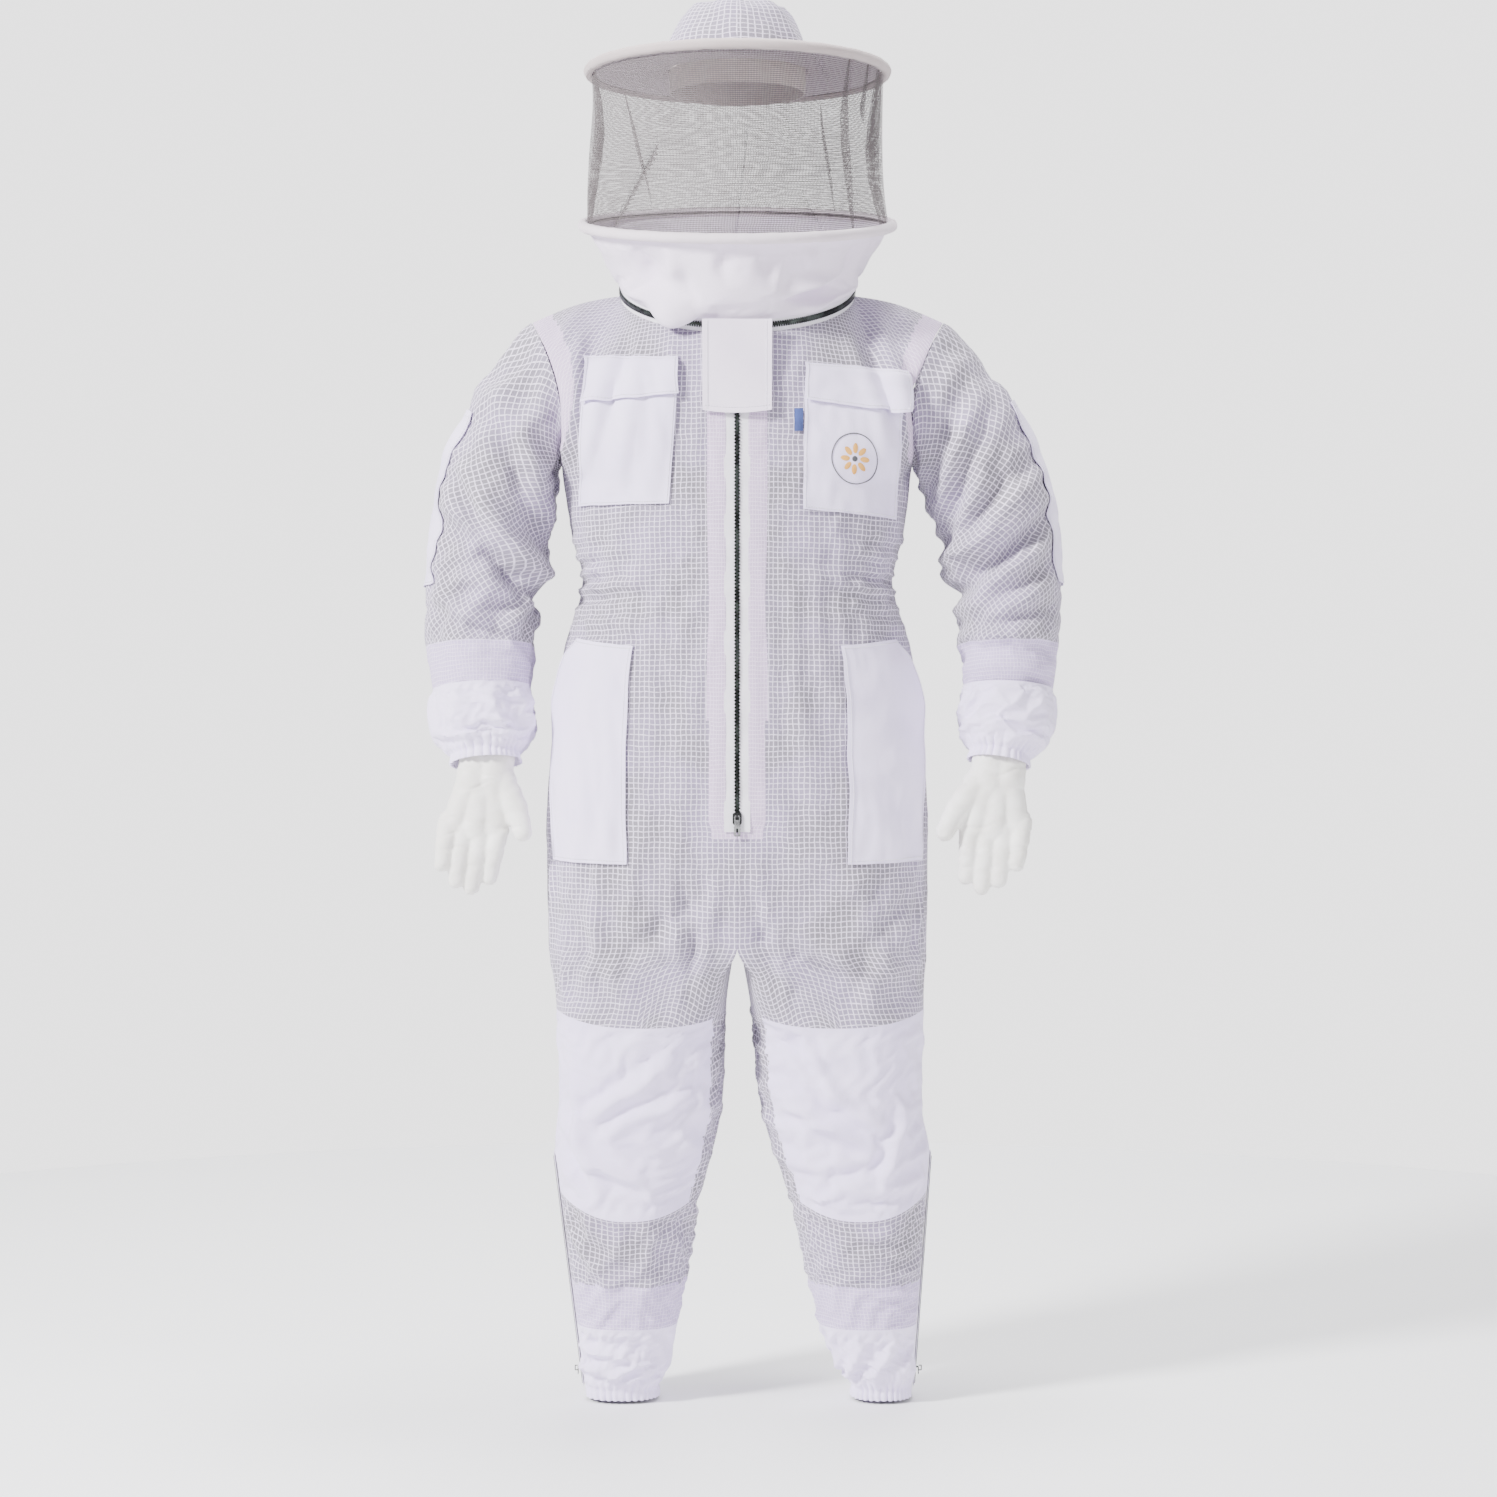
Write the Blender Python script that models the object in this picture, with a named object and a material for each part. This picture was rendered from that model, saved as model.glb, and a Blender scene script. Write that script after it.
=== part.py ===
"""A ventilated beekeeping suit: coverall, zip-off hood with a round veil, and gloves.

Metres, +Z up, the front faces -Y and +X is the wearer's left. The origin is on the
floor plane of the ankle hems, midway between the legs. Every sheet of cloth is a thin
closed shell: its outer face is a formula in (u, v), and it is thickened inwards.
"""

import math

import bmesh
import bpy
import numpy as np
from mathutils import Matrix, Vector
from mathutils.bvhtree import BVHTree

# ---------------------------------------------------------------- driving dimensions
CLOTH = 0.0016  # three bonded layers of mesh, or one of cotton with its turning
GAP = 0.0005  # left between two pieces that are sewn together
SEAM = 0.0018  # each side panel's edge stays this far from the middle of a side seam

RING_R = 0.1437  # hood zip, middle of its tape
RING_Z = 1.362
RING_TILT = math.radians(24.5)  # the neck is lower in front
ZIP_GAP = 0.0006  # half of the gap that a slider's post runs in
ZIP_TAPE = 0.0090  # width of one half of the hood zip

LOWER_HOOP_R, LOWER_HOOP_Z, LOWER_HOOP_TILT = 0.190, 1.441, math.radians(13)
UPPER_HOOP_R, UPPER_HOOP_Z = 0.1825, 1.628
CASING_R, CASING_BORE, WIRE_R = 0.0065, 0.0034, 0.0018
CROWN_R, CROWN_TOP = 0.090, 1.716
HOOP_STEPS = 32

FRONT_Y = -0.134  # the main zip lies straight down this plane
ZIP_TOP, ZIP_BOTTOM = 1.292, 0.700
UPPER_SLIDER_Z, LOWER_SLIDER_Z = 1.277, 0.716
CHAIN_HALF, CHAIN_THICK = 0.0034, 0.0030
TAPE_EDGE = 0.0140

ARMHOLE_Z, ARMHOLE_HALF_HEIGHT, ARMHOLE_HALF_DEPTH = 1.231, 0.089, 0.080
CROTCH_Z = 0.565
KNEE_TOP, KNEE_BOTTOM = 0.476, 0.243
HEM_BAND_BOTTOM = 0.092
LEG_ZIP_TOP, LEG_ZIP_BOTTOM = 0.302, 0.012

LEFT, RIGHT = 1, -1  # the wearer's sides, as signs of x
SIDES = ((LEFT, "left"), (RIGHT, "right"))

# height: half-width, front plane, back plane, flat half-width of the front and back
TORSO = (
    (0.565, 0.2325, -0.120, 0.125, 0.117),
    (0.650, 0.2338, -0.130, 0.143, 0.080),
    (0.750, 0.2325, -0.134, 0.148, 0.030),
    (0.840, 0.2240, -0.134, 0.140, 0.0),
    (0.920, 0.2130, -0.134, 0.126, 0.0),
    (1.001, 0.1905, -0.134, 0.116, 0.0),
    (1.060, 0.2040, -0.134, 0.124, 0.0),
    (1.142, 0.2130, -0.134, 0.140, 0.0),
    (1.231, 0.2155, -0.134, 0.148, 0.0),
    (1.303, 0.2155, -0.132, 0.145, 0.0),
    (1.421, 0.2155, -0.132, 0.131, 0.0),
)
ROUNDNESS = 2.4  # exponent of the torso's and the legs' sections

# height: distance of the outer and the inner silhouette from the centre plane
LEG_OUTER = {
    LEFT: ((0.0, 0.2143), (0.302, 0.2355), (0.353, 0.2270), (0.489, 0.2290), (0.565, 0.2330)),
    RIGHT: ((0.0, 0.1863), (0.302, 0.2235), (0.372, 0.2190), (0.489, 0.2230), (0.565, 0.2330)),
}
LEG_INNER = {
    LEFT: ((0.0, 0.140), (0.015, 0.138), (0.050, 0.122), (0.090, 0.100), (0.243, 0.0646),
           (0.353, 0.030), (0.489, 0.0150), (0.565, 0.0020)),
    RIGHT: ((0.0, 0.097), (0.015, 0.095), (0.050, 0.088), (0.095, 0.073), (0.243, 0.046),
            (0.353, 0.020), (0.489, 0.0130), (0.565, 0.0020)),
}
LEG_DEPTH = ((0.0, 0.042), (0.04, 0.052), (0.09, 0.064), (0.13, 0.070), (0.243, 0.082),
             (0.36, 0.090), (0.489, 0.105), (0.565, 0.1225))

# the middle of the arm from the armhole to the wrist, and its half-width and half-depth
ARM_LINE = {
    LEFT: ((0.240, 0.000, 1.227), (0.289, 0.002, 1.154), (0.322, 0.000, 1.057),
           (0.331, -0.010, 0.952), (0.330, -0.022, 0.857), (0.318, -0.040, 0.780)),
    RIGHT: ((0.240, 0.000, 1.227), (0.280, 0.002, 1.154), (0.304, 0.000, 1.057),
            (0.312, -0.010, 0.952), (0.310, -0.024, 0.857), (0.305, -0.044, 0.780)),
}
ARM_WIDTH = {
    LEFT: (0.089, 0.080, 0.072, 0.064, 0.053, 0.038),
    RIGHT: (0.089, 0.078, 0.072, 0.070, 0.060, 0.044),
}
ARM_DEPTH = (0.080, 0.085, 0.080, 0.070, 0.060, 0.042)
CAP_END, UPPER_END, ELBOW_END, BAND_END = 0.16, 0.33, 0.62, 0.80  # shares of the arm's length

# corners of the chest pockets, (x, z): top inner, top outer, bottom inner, bottom outer
CHEST_FLAP = {
    LEFT: ((0.0806, 1.2595), (0.2050, 1.2530), (0.0806, 1.2140), (0.2050, 1.1990)),
    RIGHT: ((0.0707, 1.2660), (0.1863, 1.2718), (0.0707, 1.2214), (0.1850, 1.2115)),
}
CHEST_POCKET = {
    LEFT: ((0.0806, 1.2400), (0.2000, 1.2330), (0.0780, 1.0850), (0.1900, 1.0750)),
    RIGHT: ((0.0710, 1.2450), (0.1850, 1.2480), (0.0806, 1.0910), (0.1900, 1.0910)),
}
POCKET_CLOTH, FLAP_CLOTH = 0.0012, 0.0014
POCKET_LIFT, FLAP_LIFT, HIP_POCKET_LIFT = 0.0050, 0.0090, 0.0036  # above the panel beneath
HIP_POCKET_BOTTOM, HIP_POCKET_TOP, HIP_SLANT_BOTTOM = 0.660, 0.918, 0.810


# ---------------------------------------------------------------- objects and materials
def clear_scene():
    for item in list(bpy.data.objects):
        bpy.data.objects.remove(item, do_unlink=True)


def material(name, colour, roughness=0.9, metallic=0.0):
    made = bpy.data.materials.new(name)
    made.use_nodes = True
    shader = made.node_tree.nodes["Principled BSDF"]
    shader.inputs["Base Color"].default_value = (*colour, 1)
    shader.inputs["Roughness"].default_value = roughness
    shader.inputs["Metallic"].default_value = metallic
    return made


LOOKS = {
    "mesh": ((0.62, 0.58, 0.66), 0.9, 0.0),
    "cotton": ((0.86, 0.83, 0.93), 0.9, 0.0),
    "net": ((0.05, 0.05, 0.05), 0.8, 0.0),
    "tape": ((0.85, 0.82, 0.92), 0.9, 0.0),
    "metal": ((0.05, 0.05, 0.05), 0.35, 1.0),
    "silver": ((0.55, 0.55, 0.56), 0.3, 1.0),
    "leather": ((0.84, 0.83, 0.81), 0.7, 0.0),
    "blue": ((0.03, 0.06, 0.25), 0.6, 0.0),
}


def add(name, mesh, look):
    """One named object for a mesh that is in world coordinates, with its own material."""
    item = bpy.data.objects.new(name, mesh)
    bpy.context.collection.objects.link(item)
    mesh.materials.append(material(name, *LOOKS[look]))
    mesh.shade_smooth()
    mesh.set_sharp_from_angle(angle=math.radians(40))
    return item


def closed_mesh(name, points, faces):
    """A mesh from points and faces, with its faces turned outwards."""
    mesh = bpy.data.meshes.new(name)
    work = bmesh.new()
    corners = [work.verts.new(p) for p in points]
    for face in faces:
        work.faces.new([corners[i] for i in face])
    bmesh.ops.recalc_face_normals(work, faces=work.faces)
    if work.calc_volume(signed=True) < 0:
        bmesh.ops.reverse_faces(work, faces=work.faces)
    work.to_mesh(mesh)
    work.free()
    return mesh


def pivot_at(item, place):
    """Moves an object's origin to a joint's axis and leaves its shape where it is."""
    item.data.transform(Matrix.Translation(-Vector(place)))
    item.location = place


# ---------------------------------------------------------------- small mathematics
def smooth(x):
    x = min(1.0, max(0.0, x))
    return x * x * (3 - 2 * x)


def along(table, z, column=1):
    """A smooth curve through a table's rows: cubic, with the slopes of its neighbours."""
    zs = [row[0] for row in table]
    ys = [row[column] for row in table]
    if z <= zs[0]:
        return ys[0]
    if z >= zs[-1]:
        return ys[-1]
    i = max(k for k in range(len(zs) - 1) if zs[k] <= z)
    width = zs[i + 1] - zs[i]
    t = (z - zs[i]) / width

    def slope(k):
        a, b = max(0, k - 1), min(len(zs) - 1, k + 1)
        return (ys[b] - ys[a]) / (zs[b] - zs[a])

    return (
        (2 * t**3 - 3 * t**2 + 1) * ys[i]
        + (t**3 - 2 * t**2 + t) * width * slope(i)
        + (-2 * t**3 + 3 * t**2) * ys[i + 1]
        + (t**3 - t**2) * width * slope(i + 1)
    )


def level(table, z):
    """A table read with straight lines between its rows."""
    return float(np.interp(z, [row[0] for row in table], [row[1] for row in table]))


def power(value, exponent):
    return math.copysign(abs(value) ** exponent, value)


def ring_point(turn, radius, rise=0.0):
    """A point of the tilted neck ring: turn 0 is its front, and rise is along its axis."""
    across, out = radius * math.sin(turn), -radius * math.cos(turn)
    sin, cos = math.sin(RING_TILT), math.cos(RING_TILT)
    return Vector((across, out * cos - rise * sin, RING_Z + out * sin + rise * cos))


def lower_hoop_point(turn, radius, rise=0.0):
    across, out = radius * math.sin(turn), -radius * math.cos(turn)
    sin, cos = math.sin(LOWER_HOOP_TILT), math.cos(LOWER_HOOP_TILT)
    return Vector((across, out * cos - rise * sin, LOWER_HOOP_Z + out * sin + rise * cos))


def level_point(turn, radius, height):
    return Vector((radius * math.sin(turn), -radius * math.cos(turn), height))


# ---------------------------------------------------------------- the torso's surface
def section(x, z, side_x, side_y, front):
    """How far forward or back the torso is at x, between its middle and its side edge."""
    plane = along(TORSO, z, 2 if front else 3)
    flat = along(TORSO, z, 4)
    reach = (abs(x) - flat) / max(side_x - flat, 1e-6)
    bulge = 1.0 if reach <= 0 else max(0.0, 1 - reach**ROUNDNESS) ** (1 / ROUNDNESS)
    return side_y + (plane - side_y) * bulge


def armhole_point(side, turn):
    """The armhole seam: turn 0 is the shoulder's top, a quarter turn is its front."""
    sin, cos = math.sin(turn), math.cos(turn)
    x = 0.2325 + 0.0195 * cos - 0.017 * sin * sin
    y = -ARMHOLE_HALF_DEPTH * sin
    return Vector((side * x, y, ARMHOLE_Z + ARMHOLE_HALF_HEIGHT * cos))


def side_edge(side, v, front):
    """The outer edge of a front or back panel, from the leg to the shoulder's top."""
    bottom = ARMHOLE_Z - ARMHOLE_HALF_HEIGHT
    share = (bottom - CROTCH_Z) / (bottom - CROTCH_Z + 0.20)
    if v <= share:
        z = CROTCH_Z + (bottom - CROTCH_Z) * v / share
        return Vector((side * along(TORSO, z, 1), 0, z))
    turn = math.pi * (1 - (v - share) / (1 - share))
    return armhole_point(side, turn if front else -turn)


def middle_edge(v, front):
    """The centre line of the front or of the back, from the crotch to the neck ring."""
    end = ring_point(0 if front else math.pi, RING_R, -ZIP_TAPE - 0.0016)
    z = CROTCH_Z + (end.z - CROTCH_Z) * v
    y = along(TORSO, z, 2 if front else 3)
    return Vector((0, y + (end.y - y) * smooth((v - 0.985) / 0.015), z))


def top_edge(side, u, front):
    """Along the neck ring to its side, then along the shoulder seam to the armhole."""
    neck_share = 0.64
    if u <= neck_share:
        turn = u / neck_share * math.pi / 2
        turn = side * (turn if front else math.pi - turn)
        return ring_point(turn, RING_R, -ZIP_TAPE - 0.0016)
    t = (u - neck_share) / (1 - neck_share)
    neck = ring_point(side * math.pi / 2, RING_R, -ZIP_TAPE - 0.0016)
    shoulder = armhole_point(side, 0)
    bow = Vector((0, 0, 0.006 * math.sin(math.pi * t)))
    return neck.lerp(shoulder, t) + bow


def torso_point(side, u, v, front=True):
    """The torso's outer face: u runs from the middle to the side, v from leg to neck."""
    outer, middle = side_edge(side, v, front), middle_edge(v, front)
    rise = smooth((v - 0.80) / 0.20) ** 1.5

    def body(at):
        x = side * abs(outer.x) * math.sin(at * math.pi / 2)
        z = middle.z + (outer.z - middle.z) * at * at
        low = section(x, z, abs(outer.x), outer.y, front)
        point = Vector((x, low, z))
        return point.lerp(top_edge(side, at, front), rise)

    point = body(u)
    point += (1 - u) * (middle - body(0)) + u * (outer - body(1))
    return point


# ---------------------------------------------------------------- shells of cloth
def spans(low, high, steps):
    return [low + (high - low) * i / steps for i in range(steps + 1)]


def normal_at(surface, u, v, u_range, v_range, inside):
    """The outward unit normal, from differences that stay inside the sheet's edges."""
    step = 2e-3 * (u_range[1] - u_range[0])
    a = surface(min(u + step, u_range[1]), v) - surface(max(u - step, u_range[0]), v)
    step = 2e-3 * (v_range[1] - v_range[0])
    b = surface(u, min(v + step, v_range[1])) - surface(u, max(v - step, v_range[0]))
    n = a.cross(b)
    if n.length < 1e-12:
        return Vector((0, 0, 1))
    n.normalize()
    return -n if n.dot(surface(u, v) - inside) < 0 else n


def shell(name, surface, us, vs, look, inside, thickness=CLOTH, lift=0.0, loop=False):
    """A closed sheet over surface(u, v), lift above it, thickened towards inside.

    inside is a point, or a function of v, that the outer face looks away from. With
    loop, the last u meets the first and the sheet is a tube.
    """
    middle = inside if callable(inside) else lambda v: inside
    columns = us[:-1] if loop else us
    u_range = (us[0] - 1, us[-1] + 1) if loop else (us[0], us[-1])
    v_range = (vs[0], vs[-1])
    outer, inner = [], []
    for v in vs:
        for u in columns:
            normal = normal_at(surface, u, v, u_range, v_range, middle(v))
            place = surface(u, v)
            outer.append(place + normal * lift)
            inner.append(place + normal * (lift - thickness))
    width, rows = len(columns), len(vs)
    points = outer + inner
    base = len(outer)
    faces = []
    across = width if loop else width - 1
    for j in range(rows - 1):
        for i in range(across):
            a, b = j * width + i, j * width + (i + 1) % width
            c, d = b + width, a + width
            faces += [(a, b, c, d), (base + d, base + c, base + b, base + a)]
    for j in (0, rows - 1):
        for i in range(across):
            a, b = j * width + i, j * width + (i + 1) % width
            faces.append((a, b, base + b, base + a))
    if not loop:
        for i in (0, width - 1):
            for j in range(rows - 1):
                a, b = j * width + i, (j + 1) * width + i
                faces.append((a, b, base + b, base + a))
    return add(name, closed_mesh(name, points, faces), look)


def swept(name, outline, frames, look, loop=False):
    """A closed outline carried through frames, each a function from (x, y) to a place."""
    count = len(outline)
    points = [frame(x, y) for frame in frames for x, y in outline]
    faces = []
    turns = len(frames) if loop else len(frames) - 1
    for j in range(turns):
        for i in range(count):
            a, b = j * count + i, j * count + (i + 1) % count
            k = ((j + 1) % len(frames)) * count
            faces.append((a, b, k + (i + 1) % count, k + i))
    if not loop:
        faces.append(tuple(range(count)))
        faces.append(tuple((len(frames) - 1) * count + i for i in range(count)))
    return add(name, closed_mesh(name, points, faces), look)


# ---------------------------------------------------------------- hat and veil
def turns(steps=HOOP_STEPS):
    return [2 * math.pi * i / steps for i in range(steps)]


def casing_outline():
    """A bias-tape casing cut across: a C whose seam faces the inside of the hoop."""
    seam = math.radians(24)
    arc = spans(math.pi + seam, 3 * math.pi - seam, 6)
    outer = [(CASING_R * math.cos(a), CASING_R * math.sin(a)) for a in arc]
    bore = [(CASING_BORE * math.cos(a), CASING_BORE * math.sin(a)) for a in reversed(arc)]
    return outer + bore


def hoop(name, place, radius, outline, look):
    frames = [lambda x, y, t=t: place(t, radius + x, y) for t in turns()]
    return swept(name, outline, frames, look, loop=True)


def round_outline(radius, sides):
    return [
        (radius * math.cos(2 * math.pi * i / sides), radius * math.sin(2 * math.pi * i / sides))
        for i in range(sides)
    ]


def make_hoops():
    upper = lambda turn, radius, rise: level_point(turn, radius, UPPER_HOOP_Z + rise)
    hoop("upper_hoop_casing", upper, UPPER_HOOP_R, casing_outline(), "cotton")
    hoop("upper_hoop_wire", upper, UPPER_HOOP_R, round_outline(WIRE_R, 4), "metal")
    hoop("lower_hoop_casing", lower_hoop_point, LOWER_HOOP_R, casing_outline(), "cotton")
    hoop("lower_hoop_wire", lower_hoop_point, LOWER_HOOP_R, round_outline(WIRE_R, 4), "metal")


def make_hat():
    """The crown is a domed tube closed by its top; the brim is a flat ring."""
    base = UPPER_HOOP_Z + 0.004
    height = CROWN_TOP - base
    profile = [(CROWN_R, base), (0.089, base + 0.35 * height), (0.080, base + 0.72 * height),
               (0.058, base + 0.94 * height), (0.030, CROWN_TOP - 0.001), (0.0, CROWN_TOP)]
    steps = turns(28)
    points, faces = [], []
    layers = (profile, [(max(r - 0.0022, 0.0), z - 0.0022 * (r < 0.088)) for r, z in profile])
    tops = []
    for layer in layers:
        start = len(points)
        for r, z in layer[:-1]:
            points += [level_point(t, r, z) for t in steps]
        points.append(Vector((0, 0, layer[-1][1])))
        tops.append(len(points) - 1)
        for j in range(len(layer) - 2):
            for i in range(len(steps)):
                a, b = start + j * len(steps) + i, start + j * len(steps) + (i + 1) % len(steps)
                faces.append((a, b, b + len(steps), a + len(steps)))
        last = start + (len(layer) - 2) * len(steps)
        for i in range(len(steps)):
            faces.append((last + i, last + (i + 1) % len(steps), tops[-1]))
    inner_start = tops[0] + 1
    for i in range(len(steps)):
        j = (i + 1) % len(steps)
        faces.append((i, j, inner_start + j, inner_start + i))
    add("hat_crown", closed_mesh("hat_crown", points, faces), "mesh")

    edge = UPPER_HOOP_R - CASING_R - GAP
    brim = [(CROWN_R - 0.004, base - 0.0028), (edge, base - 0.0048), (edge, base - 0.0026),
            (CROWN_R - 0.004, base - 0.0006)]
    frames = [lambda r, z, t=t: level_point(t, r, z) for t in turns()]
    swept("hat_brim", brim, frames, "mesh", loop=True)
    band = [(0.0815, base - 0.030), (0.0835, base - 0.030), (0.0835, base + 0.010),
            (0.0815, base + 0.010)]
    frames = [lambda r, z, t=t: level_point(t, r, z) for t in turns(28)]
    swept("sweatband", band, frames, "cotton", loop=True)


def veil_surface(u, v):
    low = lower_hoop_point(u, LOWER_HOOP_R - 0.003, CASING_R + GAP)
    high = level_point(u, UPPER_HOOP_R - 0.001, UPPER_HOOP_Z - CASING_R - GAP)
    return low.lerp(high, v)


def skirt_surface(u, v):
    """The hood's cotton skirt: from the zip up to the lower hoop, a little puffed."""
    low = ring_point(u, RING_R, ZIP_TAPE + 0.0016)
    high = lower_hoop_point(u, LOWER_HOOP_R - 0.001, -CASING_R - GAP)
    out = Vector((math.sin(u), -math.cos(u), 0))
    return low.lerp(high, v) + out * 0.014 * math.sin(math.pi * min(1, max(0, v)))


def make_hood():
    around = spans(0, 2 * math.pi, HOOP_STEPS)
    shell("veil_net", veil_surface, around, spans(0, 1, 1), "net", Vector((0, 0, 1.53)),
          thickness=0.0008, loop=True)
    shell("neck_skirt", skirt_surface, around, spans(0, 1, 3), "cotton", Vector((0, 0, 1.40)),
          thickness=0.0012, loop=True)


# ---------------------------------------------------------------- zips
def make_hood_zip():
    for name, sign in (("hood_zip_half", 1), ("neck_zip_half", -1)):
        outline = [(-0.0012, sign * ZIP_GAP), (0.0012, sign * ZIP_GAP),
                   (0.0012, sign * 0.0035), (0.0004, sign * 0.0035),
                   (0.0004, sign * ZIP_TAPE), (-0.0004, sign * ZIP_TAPE),
                   (-0.0004, sign * 0.0035), (-0.0012, sign * 0.0035)]
        frames = [lambda x, y, t=t: ring_point(t, RING_R + x, y) for t in turns()]
        swept(name, outline, frames, "tape", loop=True)
    for side, word in SIDES:
        middle = side * math.radians(4.5)
        half = math.radians(2.0)
        frames = [lambda x, y, t=t: ring_point(t, RING_R + x, y)
                  for t in spans(middle - half, middle + half, 3)]
        swept(f"hood_slider_{word}", slider_outline(0.0042, 0.0026), frames, "metal")


def slider_outline(plate, inner):
    """A slider cut across: two plates joined by the post that runs between the teeth."""
    outer, post = inner + 0.0010, 0.0003
    return [(-outer, -plate), (-inner, -plate), (-inner, -post), (inner, -post),
            (inner, -plate), (outer, -plate), (outer, plate), (inner, plate), (inner, post),
            (-inner, post), (-inner, plate), (-outer, plate)]


def make_main_zip():
    for side, word in SIDES:
        half = CHAIN_THICK / 2
        outline = [(side * ZIP_GAP, -half), (side * CHAIN_HALF, -half),
                   (side * CHAIN_HALF, -0.0004), (side * TAPE_EDGE, -0.0004),
                   (side * TAPE_EDGE, 0.0004), (side * CHAIN_HALF, 0.0004),
                   (side * CHAIN_HALF, half), (side * ZIP_GAP, half)]
        frames = [lambda x, y, z=z: Vector((x, FRONT_Y + y, z)) for z in (ZIP_BOTTOM, ZIP_TOP)]
        swept(f"zip_half_{word}", outline, frames, "tape")
    for word, z in (("upper", UPPER_SLIDER_Z), ("lower", LOWER_SLIDER_Z)):
        profile = [(x, y) for y, x in slider_outline(0.0045, CHAIN_THICK / 2 + 0.0004)]
        frames = [lambda x, y, h=h: Vector((x, FRONT_Y + y, h)) for h in (z - 0.006, z + 0.006)]
        slider = swept(f"zip_slider_{word}", profile, frames, "metal")
        pivot_at(slider, (0, FRONT_Y, z))
        pivot = (0, FRONT_Y - 0.0044, z + 0.003)
        tab = [(-0.0024, -0.0005), (0.0024, -0.0005), (0.0024, 0.0005), (-0.0024, 0.0005)]
        frames = [lambda x, y, h=h, w=w: Vector((x * w, pivot[1] + y, pivot[2] + h))
                  for h, w in ((0.0008, 0.8), (-0.008, 0.9), (-0.025, 1.15))]
        pull = swept(f"zip_pull_{word}", tab, frames, "silver")
        pivot_at(pull, pivot)


def leg_zip_line(side, z):
    """The straight line that a leg's zip follows, on the outer side of the ankle."""
    share = z / LEG_ZIP_TOP
    low, high = LEG_OUTER[side][0][1], LEG_OUTER[side][1][1]
    return Vector((side * (low + (high - low) * share), leg_middle_y(z), z))


def make_leg_zips():
    for side, word in SIDES:
        tape, bead, lift = 0.011, 0.0026, 0.0008
        outline = [(-tape, lift), (-tape, lift + 0.0008), (-bead, lift + 0.0008),
                   (-bead, lift + 0.0024), (bead, lift + 0.0024), (bead, lift + 0.0008),
                   (tape, lift + 0.0008), (tape, lift)]
        frames = [lambda y, x, p=leg_zip_line(side, z): p + Vector((side * x, y, 0))
                  for z in (LEG_ZIP_BOTTOM, LEG_ZIP_TOP)]
        swept(f"leg_zip_{word}", outline, frames, "tape")
        wide, top = 0.0045, lift + 0.0038
        clasp = [(-wide, lift + 0.0013), (-wide, top), (wide, top), (wide, lift + 0.0013),
                 (bead + 0.0004, lift + 0.0013), (bead + 0.0004, lift + 0.0028),
                 (-bead - 0.0004, lift + 0.0028), (-bead - 0.0004, lift + 0.0013)]
        rest = 0.030
        frames = [lambda y, x, p=leg_zip_line(side, z): p + Vector((side * x, y, 0))
                  for z in (rest - 0.006, rest + 0.006)]
        slider = swept(f"leg_slider_{word}", clasp, frames, "metal")
        pivot_at(slider, leg_zip_line(side, rest))


# ---------------------------------------------------------------- coverall body
def panel_rows():
    """Rows from leg to neck, closer together over the shoulders."""
    return spans(0, 0.72, 9) + spans(0.72, 1, 8)[1:]


def panel_columns():
    return spans(0, 1, 10)


def seam_shift(u, v):
    """How far a panel is held back from its side seam and from its shoulder seam."""
    return SEAM * max(u**8, smooth((v - 0.93) / 0.07) * smooth((u - 0.5) / 0.12))


def make_panels():
    core = lambda v: Vector((0, 0, CROTCH_Z + 0.75 * v))
    for side, word in SIDES:
        def front(u, v, side=side):
            point = torso_point(side, u, v)
            inner_edge = 0.0146 * smooth((point.z - ZIP_BOTTOM + 0.03) / 0.02)
            aside = side * max(inner_edge, 0.0008) * (1 - u) ** 6
            return point + Vector((aside, -seam_shift(u, v), 0))
        shell(f"front_{word}", front, panel_columns(), panel_rows(), "mesh", core)
    def back(u, v):
        return torso_point(LEFT if u >= 0 else RIGHT, abs(u), v, front=False)
    def back_edge(u, v):
        point = back(u, v)
        return point + Vector((0, seam_shift(abs(u), v), 0))
    shell("back", back_edge, spans(-1, 1, 16), panel_rows(), "mesh", core)


def make_waist_elastic():
    def band(u, v):
        share = (v - CROTCH_Z) / (ring_point(math.pi, RING_R, -0.0106).z - CROTCH_Z)
        return torso_point(LEFT if u >= 0 else RIGHT, abs(u), share, front=False)
    shell("waist_elastic", band, spans(-0.93, 0.93, 14), spans(0.985, 1.017, 1), "cotton",
          Vector((0, 0, 1.0)), thickness=0.0012, lift=-CLOTH - 0.0008)


def front_tree():
    """The front's outer face as a tree that a ray from the front can hit."""
    us, vs = panel_columns(), panel_rows()
    points, faces = [], []
    for side in (LEFT, RIGHT):
        start = len(points)
        points += [torso_point(side, u, v) for v in vs for u in us]
        for j in range(len(vs) - 1):
            for i in range(len(us) - 1):
                a = start + j * len(us) + i
                faces.append((a, a + 1, a + len(us) + 1, a + len(us)))
    return BVHTree.FromPolygons(points, faces)


def on_front(tree, x, z):
    hit = tree.ray_cast(Vector((x, -1, z)), Vector((0, 1, 0)))[0]
    return hit if hit is not None else Vector((x, 0, z))


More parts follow.
